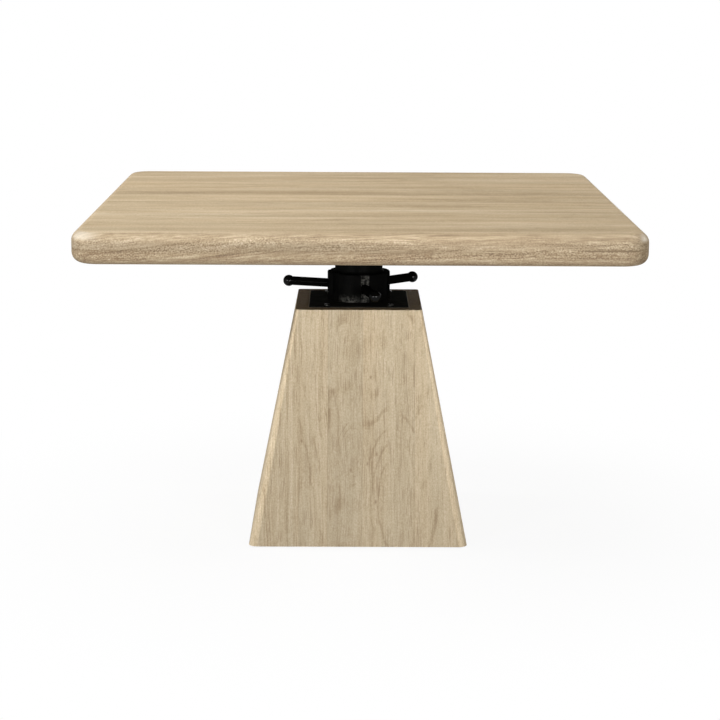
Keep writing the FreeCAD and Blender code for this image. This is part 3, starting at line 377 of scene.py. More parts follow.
    # Open pores are drawn about 2 mm wide instead of 0.3 mm so that they show, closer in dark stretches
    pores = grain_noise(tree, bent, pore[0], pore[1], 1.0).outputs[0]
    crowd = add(tree, "ShaderNodeMath", {0: clouds, 1: -0.30, 2: pores}, operation="MULTIPLY_ADD")
    crowd = add(tree, "ShaderNodeMath", {0: years, 1: 0.10, 2: crowd}, operation="MULTIPLY_ADD")
    pores = add(
        tree,
        "ShaderNodeMapRange",
        {"Value": crowd, "From Min": 0.40, "From Max": 0.60, "To Min": 0.0, "To Max": pore[2]},
    )
    marks = add(tree, "ShaderNodeMath", {0: pores, 1: eye}, operation="MAXIMUM")
    colour = add(tree, "ShaderNodeMix", {0: marks, 6: wood, 7: linear(PORE_BROWN)}, data_type="RGBA")
    tree.links.new(colour.outputs[2], shader.inputs["Base Color"])
    dull = add(
        tree,
        "ShaderNodeMapRange",
        {"Value": streaks, "From Min": 0.3, "From Max": 0.7, "To Min": 0.88, "To Max": 0.74},
    )
    tree.links.new(dull.outputs[0], shader.inputs["Roughness"])
    grain_height = add(tree, "ShaderNodeMath", {0: pores, 1: -1.2, 2: specks}, operation="MULTIPLY_ADD")
    relief = add(tree, "ShaderNodeBump", {"Height": grain_height, "Strength": 0.45, "Distance": 0.0006})
    tree.links.new(relief.outputs[0], shader.inputs["Normal"])
    shader.inputs["IOR"].default_value = 1.45
    shader.inputs["Specular IOR Level"].default_value = 0.2
    return material


stand_up = Matrix.Rotation(math.radians(90), 3, "Y") @ Matrix.Rotation(PANEL_LEAN, 3, "X")
for side, panel_name in enumerate(PANELS):
    dress(
        panel_name,
        washed_hardwood(
            "washed_hardwood_" + panel_name,
            turn=(-side * math.pi / 2, stand_up),
            pith=(0, -0.137, 0.25),
            seed=side,
            joints=STAVE_JOINTS,
            tones=STAVE_TONES[panel_name],
            piths=STAVE_PITHS,
            lines=STAVE_LINES,
            arches=PANEL_ARCHES[panel_name],
            knots=PANEL_KNOTS[panel_name],
            **PANEL_WOOD,
        ),
    )

# Deck
# One board of the same hardwood closes the pyramid's top, let in flush between the panels, with its
# grain along X. Its tone is set darker, a painted shade for the dark that it lies in under the top.
dress(
    "top_deck",
    washed_hardwood(
        "washed_hardwood_deck",
        turn=(0.0, Matrix.Identity(3)),
        pith=(0, 0.05, 0.45),
        seed=8,
        # Painted shade: a darker tone for the shade under the top
        tones=(0.60,),
        **PANEL_WOOD,
    ),
)

# Timber inside the base
# Glue blocks, cleats and bottom panel are plain planed softwood, left bare because nobody sees them.
# Spruce shows even pale yellow wood with narrow darker rings.
INNER_TIMBER = ("corner_blocks", "deck_cleats", "bottom_panel")
# Millimetres from ring to ring
RING_GAP = 4.5


def planed_softwood(name, pith, along):
    """Bare spruce: distance from a pith along X or Y goes into a saw-toothed ramp of rings."""
    material, tree, shader = new_material(name)
    place = add(tree, "ShaderNodeTexCoord", {}).outputs["Object"]
    turn = (0, 0, 0 if along == "X" else math.pi / 2)
    log = add(tree, "ShaderNodeMapping", {"Vector": place, "Location": pith, "Rotation": turn})
    bend = add(tree, "ShaderNodeTexNoise", {"Vector": log, "Scale": 4.0, "Detail": 2.0}).outputs["Color"]
    bent = add(
        tree,
        "ShaderNodeVectorMath",
        {0: bend, 1: (0, 0.02, 0.02), 2: log},
        operation="MULTIPLY_ADD",
    )
    out = add(tree, "ShaderNodeVectorMath", {0: bent, 1: (0, 1, 1)}, operation="MULTIPLY")
    radius = add(tree, "ShaderNodeVectorMath", {0: out}, operation="LENGTH").outputs["Value"]
    turns = add(tree, "ShaderNodeMath", {0: radius, 1: 1000 / RING_GAP}, operation="MULTIPLY")
    rings = add(tree, "ShaderNodeMath", {0: turns}, operation="FRACT")
    fibres = grain_noise(tree, bent, 60, 2, 2.0)
    mixed = add(tree, "ShaderNodeMath", {0: fibres, 1: 0.30, 2: rings}, operation="MULTIPLY_ADD")
    wood = add(
        tree,
        "ShaderNodeValToRGB",
        {"Fac": mixed},
        stops=((0.12, "#d0b585"), (0.20, "#d2b889"), (0.72, "#c9ab78"), (0.98, "#ab8551")),
    )
    tree.links.new(wood.outputs[0], shader.inputs["Base Color"])
    relief = add(tree, "ShaderNodeBump", {"Height": fibres, "Strength": 0.3, "Distance": 0.0004})
    tree.links.new(relief.outputs[0], shader.inputs["Normal"])
    shader.inputs["Roughness"].default_value = 0.7
    shader.inputs["IOR"].default_value = 1.45
    return material


softwood_x = planed_softwood("planed_spruce_along_x", (0, 0.06, -0.43), "X")
softwood_y = planed_softwood("planed_spruce_along_y", (0, 0.05, -0.62), "Y")
for timber in INNER_TIMBER:
    dress(timber, softwood_x)

# Floor glides
# Four turned nylon discs are pressed into the bottom edge, so that the wood stands clear of a damp floor.
# The nylon is a dull brown-grey, scuffed in cloudy patches.
NYLON_SCUFFS = ((0.3, "#4a463f"), (0.7, "#5d584f"))


def cloudy_finish(name, lump, detail, stops):
    """Start a finish whose colour drifts between stops with noise in lumps of a size in millimetres."""
    material, tree, shader = new_material(name)
    place = add(tree, "ShaderNodeTexCoord", {}).outputs["Object"]
    clouds = add(tree, "ShaderNodeTexNoise", {"Vector": place, "Scale": 1000 / lump, "Detail": detail})
    colour = add(tree, "ShaderNodeValToRGB", {"Fac": clouds}, stops=stops)
    tree.links.new(colour.outputs[0], shader.inputs["Base Color"])
    return material, tree, shader, place, clouds


nylon, _, nylon_shader, _, _ = cloudy_finish("turned_nylon", 6, 4.0, NYLON_SCUFFS)
nylon_shader.inputs["Roughness"].default_value = 0.5
dress("floor_glides", nylon)

# Base plate
# A square of 2 mm steel plate, rounded at the corners, carries the mechanism on the pyramid's top.
# It is coated black with the castings and its gloss is duller; its ground is painted greyer, painted light
# that lifts it out of the shade under the top.
# Grey of the painted highlights on the hub
GLINT_GREY = "#4c4b47"


def black_enamel(name, lump, relief_height, coat, coat_roughness, ground=("#040404", "#080807"), glint_bands=()):
    """Black enamel: a dead black ground under a thin gloss, lifted by lumps of a size in millimetres.

    Each entry of glint_bands is a band round the axis where mottled grey is painted in as a painted
    highlight, standing for lamp glints on the enamel: inner and outer radius, the heights where it starts
    to fade and is gone, and the share of grey. A direction and a distance keep a band to one side: it fades
    out where the place along the direction falls under the distance.
    """
    stops = ((0.35, ground[0]), (0.70, ground[1]))
    material, tree, shader, place, rubbed = cloudy_finish(name, 25, 4.0, stops)
    lumps = add(tree, "ShaderNodeTexNoise", {"Vector": place, "Scale": 1000 / lump, "Detail": 3.0})
    # Painted highlight: mottled grey mixed into the black inside each band
    if glint_bands:
        height = add(tree, "ShaderNodeSeparateXYZ", {"Vector": place}).outputs["Z"]
        out = add(tree, "ShaderNodeVectorMath", {0: place, 1: (1, 1, 0)}, operation="MULTIPLY")
        out = add(tree, "ShaderNodeVectorMath", {0: out}, operation="LENGTH").outputs["Value"]
        mottle = add(tree, "ShaderNodeTexNoise", {"Vector": place, "Scale": 1000 / 6, "Detail": 3.0})
        mottle = add(
            tree,
            "ShaderNodeMapRange",
            {"Value": mottle, "From Min": 0.40, "From Max": 0.66, "To Min": 0.05, "To Max": 1.0},
        )
        thin = 0.0
        for inner, outer, fade, gone, share, direction, distance in glint_bands:
            past = add(tree, "ShaderNodeMath", {0: out, 1: inner}, operation="GREATER_THAN")
            short = add(tree, "ShaderNodeMath", {0: out, 1: outer}, operation="LESS_THAN")
            band = add(tree, "ShaderNodeMath", {0: past, 1: short}, operation="MULTIPLY")
            low = add(
                tree,
                "ShaderNodeMapRange",
                {"Value": height, "From Min": fade, "From Max": gone, "To Min": share, "To Max": 0.0},
                interpolation_type="SMOOTHSTEP",
            )
            band = add(tree, "ShaderNodeMath", {0: band, 1: low}, operation="MULTIPLY")
            along = add(tree, "ShaderNodeVectorMath", {0: place, 1: direction}, operation="DOT_PRODUCT")
            turned = add(
                tree,
                "ShaderNodeMapRange",
                {"Value": along.outputs["Value"], "From Min": distance, "From Max": distance + 0.01},
                interpolation_type="SMOOTHSTEP",
            )
            band = add(tree, "ShaderNodeMath", {0: band, 1: turned}, operation="MULTIPLY")
            thin = add(tree, "ShaderNodeMath", {0: band, 1: thin}, operation="MAXIMUM")
        thin = add(tree, "ShaderNodeMath", {0: thin, 1: mottle}, operation="MULTIPLY")
        black = shader.inputs["Base Color"].links[0].from_socket
        colour = add(tree, "ShaderNodeMix", {0: thin, 6: black, 7: linear(GLINT_GREY)}, data_type="RGBA")
        tree.links.new(colour.outputs[2], shader.inputs["Base Color"])
    gloss = add(
        tree,
        "ShaderNodeMapRange",
        {"Value": rubbed, "From Min": 0.3, "From Max": 0.7, "To Min": 0.9, "To Max": 0.7},
    )
    tree.links.new(gloss.outputs[0], shader.inputs["Roughness"])
    relief = add(tree, "ShaderNodeBump", {"Height": lumps, "Strength": 0.6, "Distance": relief_height})
    tree.links.new(relief.outputs[0], shader.inputs["Normal"])
    tree.links.new(relief.outputs[0], shader.inputs["Coat Normal"])
    shader.inputs["Specular IOR Level"].default_value = 0.0
    shader.inputs["Coat Weight"].default_value = coat
    shader.inputs["Coat Roughness"].default_value = coat_roughness
    return material


plate_enamel = black_enamel(
    "black_enamel_on_plate",
    lump=9,
    relief_height=0.0002,
    coat=0.02,
    coat_roughness=0.45,
    # Painted light: a greyer ground than on the castings
    ground=("#1a1a18", "#262623"),
)
dress("base_plate", plate_enamel)

# Base plate screws
# Four button-head screws with hexagon sockets hold the plate to the deck. They are blackened steel, a
# little glossier than the plate, so that their rounded rims catch the light.
PLATE_TOP = 0.5384
PLATE_SCREWS = [(x, y, PLATE_TOP) for x in (-0.073, 0.073) for y in (-0.095, 0.095)]
PLATE_SCREW = {"head": 0.007, "shank": 0.0035, "length": 0.030, "thick": 0.0035, "key": 0.0024}


def socket_screws(name, seats, sign, head, shank, length, thick, key):
    """Headed screws with hexagon sockets, as rings of points from the tip over the head to the socket.

    Each ring is a circle or, inside the socket, a hexagon, whose radius at an angle is cos 30 degrees over
    the cosine of the angle from the nearest flat's middle. Head, shank and key are radii. Sign is 1 for a
    head above its seat and -1 for one below.
    """
    rings = np.array(
        [
            (0.8 * shank, -length, 0),
            (shank, -length + 0.3 * shank, 0),
            (shank, 0, 0),
            (0.97 * head, 0, 0),
            (head, 0.06 * thick, 0),
            (head, 0.55 * thick, 0),
            (0.93 * head, 0.85 * thick, 0),
            (0.80 * head, thick, 0),
            (1.16 * key, thick, 0),
            (1.04 * key, 0.93 * thick, 1),
            (key, 0.35 * thick, 1),
        ]
    )
    count = 36
    angle = sign * np.arange(count) * 2 * np.pi / count
    hexagon = math.cos(np.pi / 6) / np.cos((angle % (np.pi / 3)) - np.pi / 6)
    radius = rings[:, :1] * np.where(rings[:, 2:] > 0, hexagon[None, :], 1.0)
    height = np.broadcast_to(sign * rings[:, 1:2], radius.shape)
    one = np.stack([radius * np.cos(angle), radius * np.sin(angle), height], axis=-1).reshape(-1, 3)
    poles = np.array([(0, 0, -sign * length), (0, 0, sign * 0.25 * thick)])
    one = np.concatenate([one, poles])
    row, column = np.meshgrid(np.arange(len(rings) - 1), np.arange(count), indexing="ij")
    right = (column + 1) % count
    quads = np.stack(
        [row * count + column, row * count + right, (row + 1) * count + right, (row + 1) * count + column],
        axis=-1,
    ).reshape(-1, 4)
    column = np.arange(count)
    right = (column + 1) % count
    last = (len(rings) - 1) * count
    tip = np.stack([np.full(count, len(one) - 2), right, column], axis=-1)
    floor = np.stack([np.full(count, len(one) - 1), last + column, last + right], axis=-1)
    every = np.concatenate([one + np.array(seat) for seat in seats])
    faces = []
    for i in range(len(seats)):
        for part in (quads, tip, floor):
            faces += (part + i * len(one)).tolist()
    return set_mesh(name, every, faces)


def set_mesh(name, points, faces):
    """Make an object at the origin from points and faces, smooth but for edges sharper than 35 degrees."""
    mesh = bpy.data.meshes.new(name)
    mesh.from_pydata(points.tolist(), [], faces)
    mesh.polygons.foreach_set("use_smooth", np.ones(len(mesh.polygons), dtype=bool))
    mesh.set_sharp_from_angle(angle=math.radians(35))
    mesh.update()
    piece = bpy.data.objects.new(name, mesh)
    bpy.context.scene.collection.objects.link(piece)
    return piece


def fit(piece, material, body, node):
    """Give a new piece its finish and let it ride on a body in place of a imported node."""
    piece.data.materials.append(material)
    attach(piece, body)
    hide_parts(node)


OXIDE = ((0.3, "#1c1c1b"), (0.7, "#2d2d2b"))
blackened, blackened_tree, blackened_shader, _, oxide = cloudy_finish("blackened_steel", 3, 3.0, OXIDE)
blackened_gloss = add(
    blackened_tree,
    "ShaderNodeMapRange",
    {"Value": oxide, "From Min": 0.3, "From Max": 0.7, "To Min": 0.46, "To Max": 0.32},
)
blackened_tree.links.new(blackened_gloss.outputs[0], blackened_shader.inputs["Roughness"])
blackened_shader.inputs["Metallic"].default_value = 1.0
fit(
    socket_screws("plate_button_screws", PLATE_SCREWS, sign=1, **PLATE_SCREW),
    blackened,
    "base",
    "base_plate_screws",
)

# Guide tube and key
# A drawn steel tube is welded through the plate and bored for the screw; a key on two screws stops the
# screw from turning. Both are machined bright, with fine turning marks round the axis.


def turned_metal(name, bright, dark, roughness):
    """Turned metal: one-dimensional noise up the axis gives tool marks 0.6 mm apart, over clouds of oil."""
    material, tree, shader, place, _ = cloudy_finish(name, 18, 4.0, ((0.35, dark), (0.65, bright)))
    axis = add(tree, "ShaderNodeSeparateXYZ", {"Vector": place}).outputs["Z"]
    marks = add(
        tree,
        "ShaderNodeTexNoise",
        {"W": axis, "Scale": 1000 / 0.6, "Detail": 2.0},
        noise_dimensions="1D",
    )
    low, high = 0.8 * roughness, 1.3 * roughness
    gloss = add(
        tree,
        "ShaderNodeMapRange",
        {"Value": marks, "From Min": 0.3, "From Max": 0.7, "To Min": low, "To Max": high},
    )
    tree.links.new(gloss.outputs[0], shader.inputs["Roughness"])
    relief = add(tree, "ShaderNodeBump", {"Height": marks, "Strength": 0.25, "Distance": 0.00005})
    tree.links.new(relief.outputs[0], shader.inputs["Normal"])
    shader.inputs["Metallic"].default_value = 1.0
    return material


bright_steel = turned_metal("machined_steel", bright="#9a9b9c", dark="#828385", roughness=0.32)
dress("guide_tube", bright_steel)
dress("guide_key", bright_steel)

# Small plated hardware
# The key's screws, spring ring, shoe washer, shoe bolt and socket pin are bought in and zinc plated.
# The zinc is pale grey and cloudy, and its crystals change the gloss.
PLATED = ("key_screws", "retaining_ring", "shoe_washer", "shoe_bolt", "socket_pin")
ZINC_CLOUDS = ((0.3, "#a9aaa8"), (0.7, "#c6c6c1"))
zinc, zinc_tree, zinc_shader, zinc_place, _ = cloudy_finish("zinc_plated_steel", 8, 3.0, ZINC_CLOUDS)
zinc_crystals = add(zinc_tree, "ShaderNodeTexVoronoi", {"Vector": zinc_place, "Scale": 1000 / 2.5})
zinc_crystals = zinc_crystals.outputs["Distance"]
zinc_gloss = add(
    zinc_tree,
    "ShaderNodeMapRange",
    {"Value": zinc_crystals, "From Min": 0.0, "From Max": 0.6, "To Min": 0.28, "To Max": 0.42},
)
zinc_tree.links.new(zinc_gloss.outputs[0], zinc_shader.inputs["Roughness"])
zinc_shader.inputs["Metallic"].default_value = 1.0
for plated in PLATED:
    dress(plated, zinc)

# Bronze bearings
# The hub's bush, the lift nut and the guide shoe are cast bearing bronze, turned to size.
# The turned faces are warm yellow and go brown where oil and air have reached them.
BRONZE = ("hub_bush", "lift_nut", "guide_shoe")
bronze = turned_metal("bearing_bronze", bright="#b88a4e", dark="#8f6435", roughness=0.36)
for bearing in BRONZE:
    dress(bearing, bronze)

# Thrust washer
# A hardened steel washer under the hub's foot carries its weight on the plate and lets it turn.
# It is turned flat and dark with oil.
washer_steel = turned_metal("oiled_washer_steel", bright="#3a3a3b", dark="#242425", roughness=0.40)
dress("thrust_washer", washer_steel)

# Capstan hub
# One iron casting: a drum with six flat-floored channels, a bar in every other one, and a neck for the nut.
# It is enamelled black over its sandy skin. Mottled grey is painted on the front channel's floor and on the
# front left of its foot, painted highlights where lamps would glint on the enamel.
CASTING_SKIN = {"lump": 3, "relief_height": 0.0004, "coat": 0.02, "coat_roughness": 0.40}
# Bands of painted highlight on the front channel's floor and on the front left of the foot
HUB_PAINTED_GLINTS = (
    (0.0600, 0.0693, 0.600, 0.604, 0.80, (0.208, -0.978, 0.0), 0.058),
    (0.0700, 0.0770, 0.541, 0.563, 0.95, (-0.31, -0.951, 0.0), 0.066),
)
dress("capstan_hub", black_enamel("black_enamel_on_casting", glint_bands=HUB_PAINTED_GLINTS, **CASTING_SKIN))

# Nut screws
# Four zinc-plated socket screws hold the nut's flange down on the neck.
# They stand on a circle, a quarter turn apart, the first one 45 degrees past the first bar.
NUT_CIRCLE, FLANGE_TOP = 0.0520, 0.6465
BAR_ANGLE, PAST_BAR = 12, 45
nut_angles = np.radians(PAST_BAR + BAR_ANGLE + 90 * np.arange(4))
NUT_SEATS = [(NUT_CIRCLE * math.cos(a), NUT_CIRCLE * math.sin(a), FLANGE_TOP) for a in nut_angles]
NUT_SCREW = {"head": 0.0035, "shank": 0.002, "length": 0.022, "thick": 0.003, "key": 0.0014}
fit(
    socket_screws("nut_socket_screws", NUT_SEATS, sign=1, **NUT_SCREW),
    zinc,
    "capstan",
    "nut_screws",
)

# Handles
# Three turned steel bars are screwed into the channels, each with a ball on its end to grip.
# The same enamel lies smoother on turned steel, and hands have polished the balls to small sharp glints.
BALL_COAT_IOR = 2.4
bar_enamel = black_enamel(
    "black_enamel_on_turned_steel",
    lump=14,
    relief_height=0.0001,
    coat=0.006,
    coat_roughness=0.20,
)
ball_enamel = black_enamel(
    "black_enamel_polished_by_hands",
    lump=14,
    relief_height=0.00002,
    coat=0.05,
    coat_roughness=0.03,
)
ball_enamel.node_tree.nodes["Principled BSDF"].inputs["Coat IOR"].default_value = BALL_COAT_IOR
for handle in (1, 2, 3):
    dress(f"handle_bar_{handle}", bar_enamel)
    dress(f"handle_ball_{handle}", ball_enamel)

# Lift screw
# A 60 mm steel screw with a right-hand trapezoid thread of 12 mm pitch, cut on the lathe and lightly
# greased. Its top is pinned into the socket and its foot has a spigot for the guide shoe.
CREST, ROOT, PITCH = 0.030, 0.0265, 0.012
THREAD_FOOT, THREAD_TOP = 0.4222, 0.701
SPIGOT, SPIGOT_FOOT, SPIGOT_LAP = 0.020, 0.3822, 0.001


def threaded_screw(name):
    """A trapezoid thread as a profile carried round a helix.

    Each turn has four profile points: root, root, crest, crest. A point at angle a stands a/360 of a pitch
    higher than at angle 0, and after a full turn each point meets the one a pitch further up, which closes
    the seam. Heights past the top are pressed onto the top plane, and a centre point closes each end. The
    spigot under it is a plain closed drum that laps into the thread.
    """
    around = 72
    profile_up = np.array([0.0, 0.30, 0.42, 0.88]) * PITCH
    profile_out = np.array([ROOT, ROOT, CREST, CREST])
    per_turn = len(profile_up)
    turns = int(round((THREAD_TOP - THREAD_FOOT) / PITCH)) - 1
    angle = np.arange(around) * 2 * np.pi / around
    up = THREAD_FOOT + (np.arange(turns + 1)[:, None] * PITCH + profile_up[None, :]).reshape(-1)
    out = np.tile(profile_out, turns + 1)
    high = up[None, :] + angle[:, None] / (2 * np.pi) * PITCH
    rows = len(up)
    points = np.stack(
        [
            out[None, :] * np.cos(angle)[:, None],
            out[None, :] * np.sin(angle)[:, None],
            np.minimum(high, THREAD_TOP),
        ],
        axis=-1,
    ).reshape(-1, 3)
    spot = np.arange(around * rows).reshape(around, rows)
    # The last column meets the first one a turn further up
    beside = np.concatenate([spot[1:, :-per_turn], spot[:1, per_turn:]])
    here = spot[:, :-per_turn]
    quads = np.stack([here[:, :-1], beside[:, :-1], beside[:, 1:], here[:, 1:]], axis=-1).reshape(-1, 4)
    edge_low = np.concatenate([spot[:, 0], spot[0, per_turn:0:-1]])
    edge_high = np.concatenate([here[:, -1], spot[0, rows - 1 : rows - 1 - per_turn : -1]])
    foot, top = len(points), len(points) + 1
    points = np.concatenate([points, [(0, 0, THREAD_FOOT), (0, 0, points[edge_high, 2].max())]])
    low_fan = np.stack([np.full(len(edge_low), foot), np.roll(edge_low, -1), edge_low], axis=-1)
    high_fan = np.stack([np.full(len(edge_high), top), edge_high, np.roll(edge_high, -1)], axis=-1)
    ring = np.stack([SPIGOT * np.cos(angle), SPIGOT * np.sin(angle)], axis=-1)
    base = len(points)
    drum = np.concatenate(
        [
            np.column_stack([ring, np.full(around, SPIGOT_FOOT)]),
            np.column_stack([ring, np.full(around, THREAD_FOOT + SPIGOT_LAP)]),
        ]
    )
    column = np.arange(around)
    right = (column + 1) % around
    wall = base + np.stack([column, right, around + right, around + column], axis=-1)
    caps = [(base + column[::-1]).tolist(), (base + around + column).tolist()]
    points = np.concatenate([points, drum])
    faces = []
    for part in (quads, low_fan, high_fan, wall):
        faces += part.tolist()
    return set_mesh(name, points, faces + caps)


fit(
    threaded_screw("threaded_lift_screw"),
    turned_metal("greased_screw_steel", bright="#77777a", dark="#55565a", roughness=0.28),
    "tabletop",
    "lift_screw",
)

# Screw socket
# A ribbed iron casting, enamelled like the hub, holds the screw's head.
# Four zinc-plated bolts through its flange fix it up under the top plate.
FLANGE_FOOT = 0.691
SOCKET_SEATS = [(x, y, FLANGE_FOOT) for x in (-0.05657, 0.05657) for y in (-0.05657, 0.05657)]
SOCKET_BOLT = {"head": 0.0085, "shank": 0.005, "length": 0.016, "thick": 0.0065, "key": 0.004}
dress("screw_socket", black_enamel("black_enamel_on_socket", **CASTING_SKIN))
fit(
    socket_screws("flange_socket_bolts", SOCKET_SEATS, sign=-1, **SOCKET_BOLT),
    zinc,
    "tabletop",
    "socket_bolts",
)

# Top plate and its bolts
# A steel plate under the battens spreads the socket's load, with the same enamel as the base plate.
# Six zinc-plated bolts pass through it into threaded inserts in the battens.
TOP_PLATE_FOOT = 0.701
TOP_BOLT_SEATS = [(x, y, TOP_PLATE_FOOT) for x in (-0.18, 0.18) for y in (-0.17, 0.0, 0.17)]
TOP_BOLT = {"head": 0.008, "shank": 0.004, "length": 0.032, "thick": 0.005, "key": 0.003}
dress("top_plate", plate_enamel)
fit(
    socket_screws("top_plate_socket_bolts", TOP_BOLT_SEATS, sign=-1, **TOP_BOLT),
    zinc,
    "tabletop",
    "top_plate_bolts",
)

# Battens
# Two planed spruce battens lie across all the boards under the top and keep it flat.
# Seven zinc-plated screws go up through each one, with their heads in recesses.
SCREW_REACH, RECESS_FLOOR = 0.4, 0.712
BATTEN_SEATS = [(x, y * SCREW_REACH / 3, RECESS_FLOOR) for x in (-0.14, 0.14) for y in range(-3, 4)]
BATTEN_SCREW = {"head": 0.006, "shank": 0.003, "length": 0.048, "thick": 0.004, "key": 0.002}
dress("batten_left", softwood_y)
dress("batten_right", softwood_y)
fit(
    socket_screws("batten_pan_screws", BATTEN_SEATS, sign=-1, **BATTEN_SCREW),
    zinc,
    "tabletop",
    "batten_screws",
)

# Edge strips
# Four strips of the same hardwood under the rim make the slab look twice as thick. Front and back run
# along X. Sawn faces are brushed harder than the top, so torn grain and specks of pigment show most here.
STRIPS = {"edge_strip_front": 0, "edge_strip_right": 1, "edge_strip_back": 2, "edge_strip_left": 3}
# Height of the glue line under the boards, and how far over it the line and the painted dark band are drawn
GLUE_LINE = 0.740
LINE_UP, BAND_UP = 0.0035, 0.006
# How strongly the torn grain climbs along the left half of a side
CLIMB = 0.07
# Painted highlights at the slab's corners, where side lamps would glint: where the patch begins and is full
# along X, with its share at each end, along Y, and by how far the round looks up
HIGHLIGHT_ENDS = ((-0.530, -0.575, 0.50), (0.572, 0.588, 0.80))
HIGHLIGHT_DEPTH = (0.552, 0.578)
HIGHLIGHT_ROUND = ((0.10, 0.50), (1.0, 0.88))
HIGHLIGHT_COLOUR = "#e0d7c7"
STRIP_WOOD = {
    "stops": ((0.05, "#a8926f"), (0.38, "#bba685"), (0.62, "#c6b18f"), (0.95, "#d6c3a2")),
    "ring": (20, 0.40),
    "line": (14, 0.15),
    "streak": (300, 40, 0.75),
    "cloud": (300, 60, 0.45),
    "fibre": (60, 2.6, 0.40),
    "pore": (16, 2.6, 0.60),
    "speck": (2.8, 0.50),
    "rim": ((0.10, "#776452"), (0.40, "#98846b"), (0.60, "#a8967b"), (0.92, "#c3b299")),
}


def torn_rim(tree, wood, stops, panel, upward, clouds):
    """Put torn grain on the faces that look sideways, in feathers that run on from piece to piece.

    The height plus c x (x - 1) takes the place of the height, so that the feathers climb along the left
    half of a side, and slow noise makes them sway. Feathers, hairs and grit are noises drawn out along X.
    Grit comes and goes and fades on the upper round. The upper round is painted paler, painted light for
    the light that it catches looking up, least so at the left, where the lamps already light it most. The
    glue line shows towards the right, and a band over it is painted darker, a painted shade, most at the
    left.
    """
    across, inward, height = add(tree, "ShaderNodeSeparateXYZ", {"Vector": panel}).outputs
    climb = add(tree, "ShaderNodeMath", {0: across, 1: CLIMB, 2: -CLIMB}, operation="MULTIPLY_ADD")
    climb = add(tree, "ShaderNodeMath", {0: climb, 1: across, 2: height}, operation="MULTIPLY_ADD")
    slant = add(tree, "ShaderNodeCombineXYZ", {"X": across, "Y": inward, "Z": climb})
    sway = add(tree, "ShaderNodeTexNoise", {"Vector": panel, "Scale": 7.0, "Detail": 2.0}).outputs["Color"]
    slant = add(
        tree,
        "ShaderNodeVectorMath",
        {0: sway, 1: (0, 0.012, 0.012), 2: slant},
        operation="MULTIPLY_ADD",
    )
    feathers = grain_noise(tree, slant, 260, 9, 3.0)
    hairs = grain_noise(tree, slant, 75, 2.5, 1.0)
    grit = grain_noise(tree, slant, 3.6, 2.8, 1.0)
    rough = grain_noise(tree, slant, 300, 20, 1.0)
    rough = add(
        tree,
        "ShaderNodeMapRange",
        {"Value": rough, "From Min": 0.35, "From Max": 0.65, "To Min": 0.55, "To Max": 1.55},
    )
    smooth = add(
        tree,
        "ShaderNodeMapRange",
        {"Value": upward, "From Min": 0.15, "From Max": 0.75, "To Min": 1.0, "To Max": 0.30},
    )
    rough = add(tree, "ShaderNodeMath", {0: rough, 1: smooth}, operation="MULTIPLY")
    torn = weigh(tree, ((feathers, 0.85), (hairs, 0.75), (grit, rough), (clouds, 0.12)))
    wavy = add(tree, "ShaderNodeMath", {0: sway, 1: 0.004, 2: height}, operation="MULTIPLY_ADD")
    glue = add(tree, "ShaderNodeMath", {0: wavy, 1: GLUE_LINE + LINE_UP}, operation="SUBTRACT")
    glue = add(tree, "ShaderNodeMath", {0: glue}, operation="ABSOLUTE")
    glue = add(
        tree,
        "ShaderNodeMapRange",
        {"Value": glue, "From Min": 0.0006, "From Max": 0.0020, "To Min": 0.50, "To Max": 0.0},
    )
    broken = grain_noise(tree, slant, 45, 45, 1.0)
    broken = add(tree, "ShaderNodeMapRange", {"Value": broken, "From Min": 0.40, "From Max": 0.62})
    glue = add(tree, "ShaderNodeMath", {0: glue, 1: broken}, operation="MULTIPLY")
    right = add(tree, "ShaderNodeMapRange", {"Value": across, "From Min": -0.02, "From Max": 0.32})
    glue = add(tree, "ShaderNodeMath", {0: glue, 1: right}, operation="MULTIPLY")
    torn = add(tree, "ShaderNodeMath", {0: torn, 1: glue}, operation="SUBTRACT")
    torn = add(tree, "ShaderNodeValToRGB", {"Fac": torn}, stops=stops)
    # Painted light: the upper round is painted paler, least so at the left
    painted_round_light = add(
        tree,
        "ShaderNodeMapRange",
        {"Value": across, "From Min": -0.40, "From Max": -0.20, "To Min": 1.09, "To Max": 1.18},
    )
    shade = add(
        tree,
        "ShaderNodeMapRange",
        {"Value": upward, "From Min": -0.1, "From Max": 0.65, "To Min": 1.0, "To Max": painted_round_light},
        interpolation_type="SMOOTHSTEP",
    )
    # Painted shade: a darker band over the glue line, most at the left
    band = add(tree, "ShaderNodeMath", {0: wavy, 1: GLUE_LINE + BAND_UP}, operation="SUBTRACT")
    band = add(tree, "ShaderNodeMath", {0: band}, operation="ABSOLUTE")
    painted_band_shade = add(tree, "ShaderNodeMath", {0: right, 1: 0.16, 2: 0.81}, operation="MULTIPLY_ADD")
    band = add(
        tree,
        "ShaderNodeMapRange",
        {"Value": band, "From Min": 0.003, "From Max": 0.018, "To Min": painted_band_shade, "To Max": 1.0},
        interpolation_type="SMOOTHSTEP",
    )
    shade = add(tree, "ShaderNodeMath", {0: shade, 1: band}, operation="MULTIPLY")
    torn = add(tree, "ShaderNodeVectorMath", {0: torn, "Scale": shade}, operation="SCALE")
    sideways = add(
        tree,
        "ShaderNodeMapRange",
        {"Value": upward, "From Min": 0.88, "From Max": 0.999, "To Min": 1.0, "To Max": 0.0},
    )
    return add(tree, "ShaderNodeMix", {0: sideways, 6: wood, 7: torn}, data_type="RGBA").outputs[2]


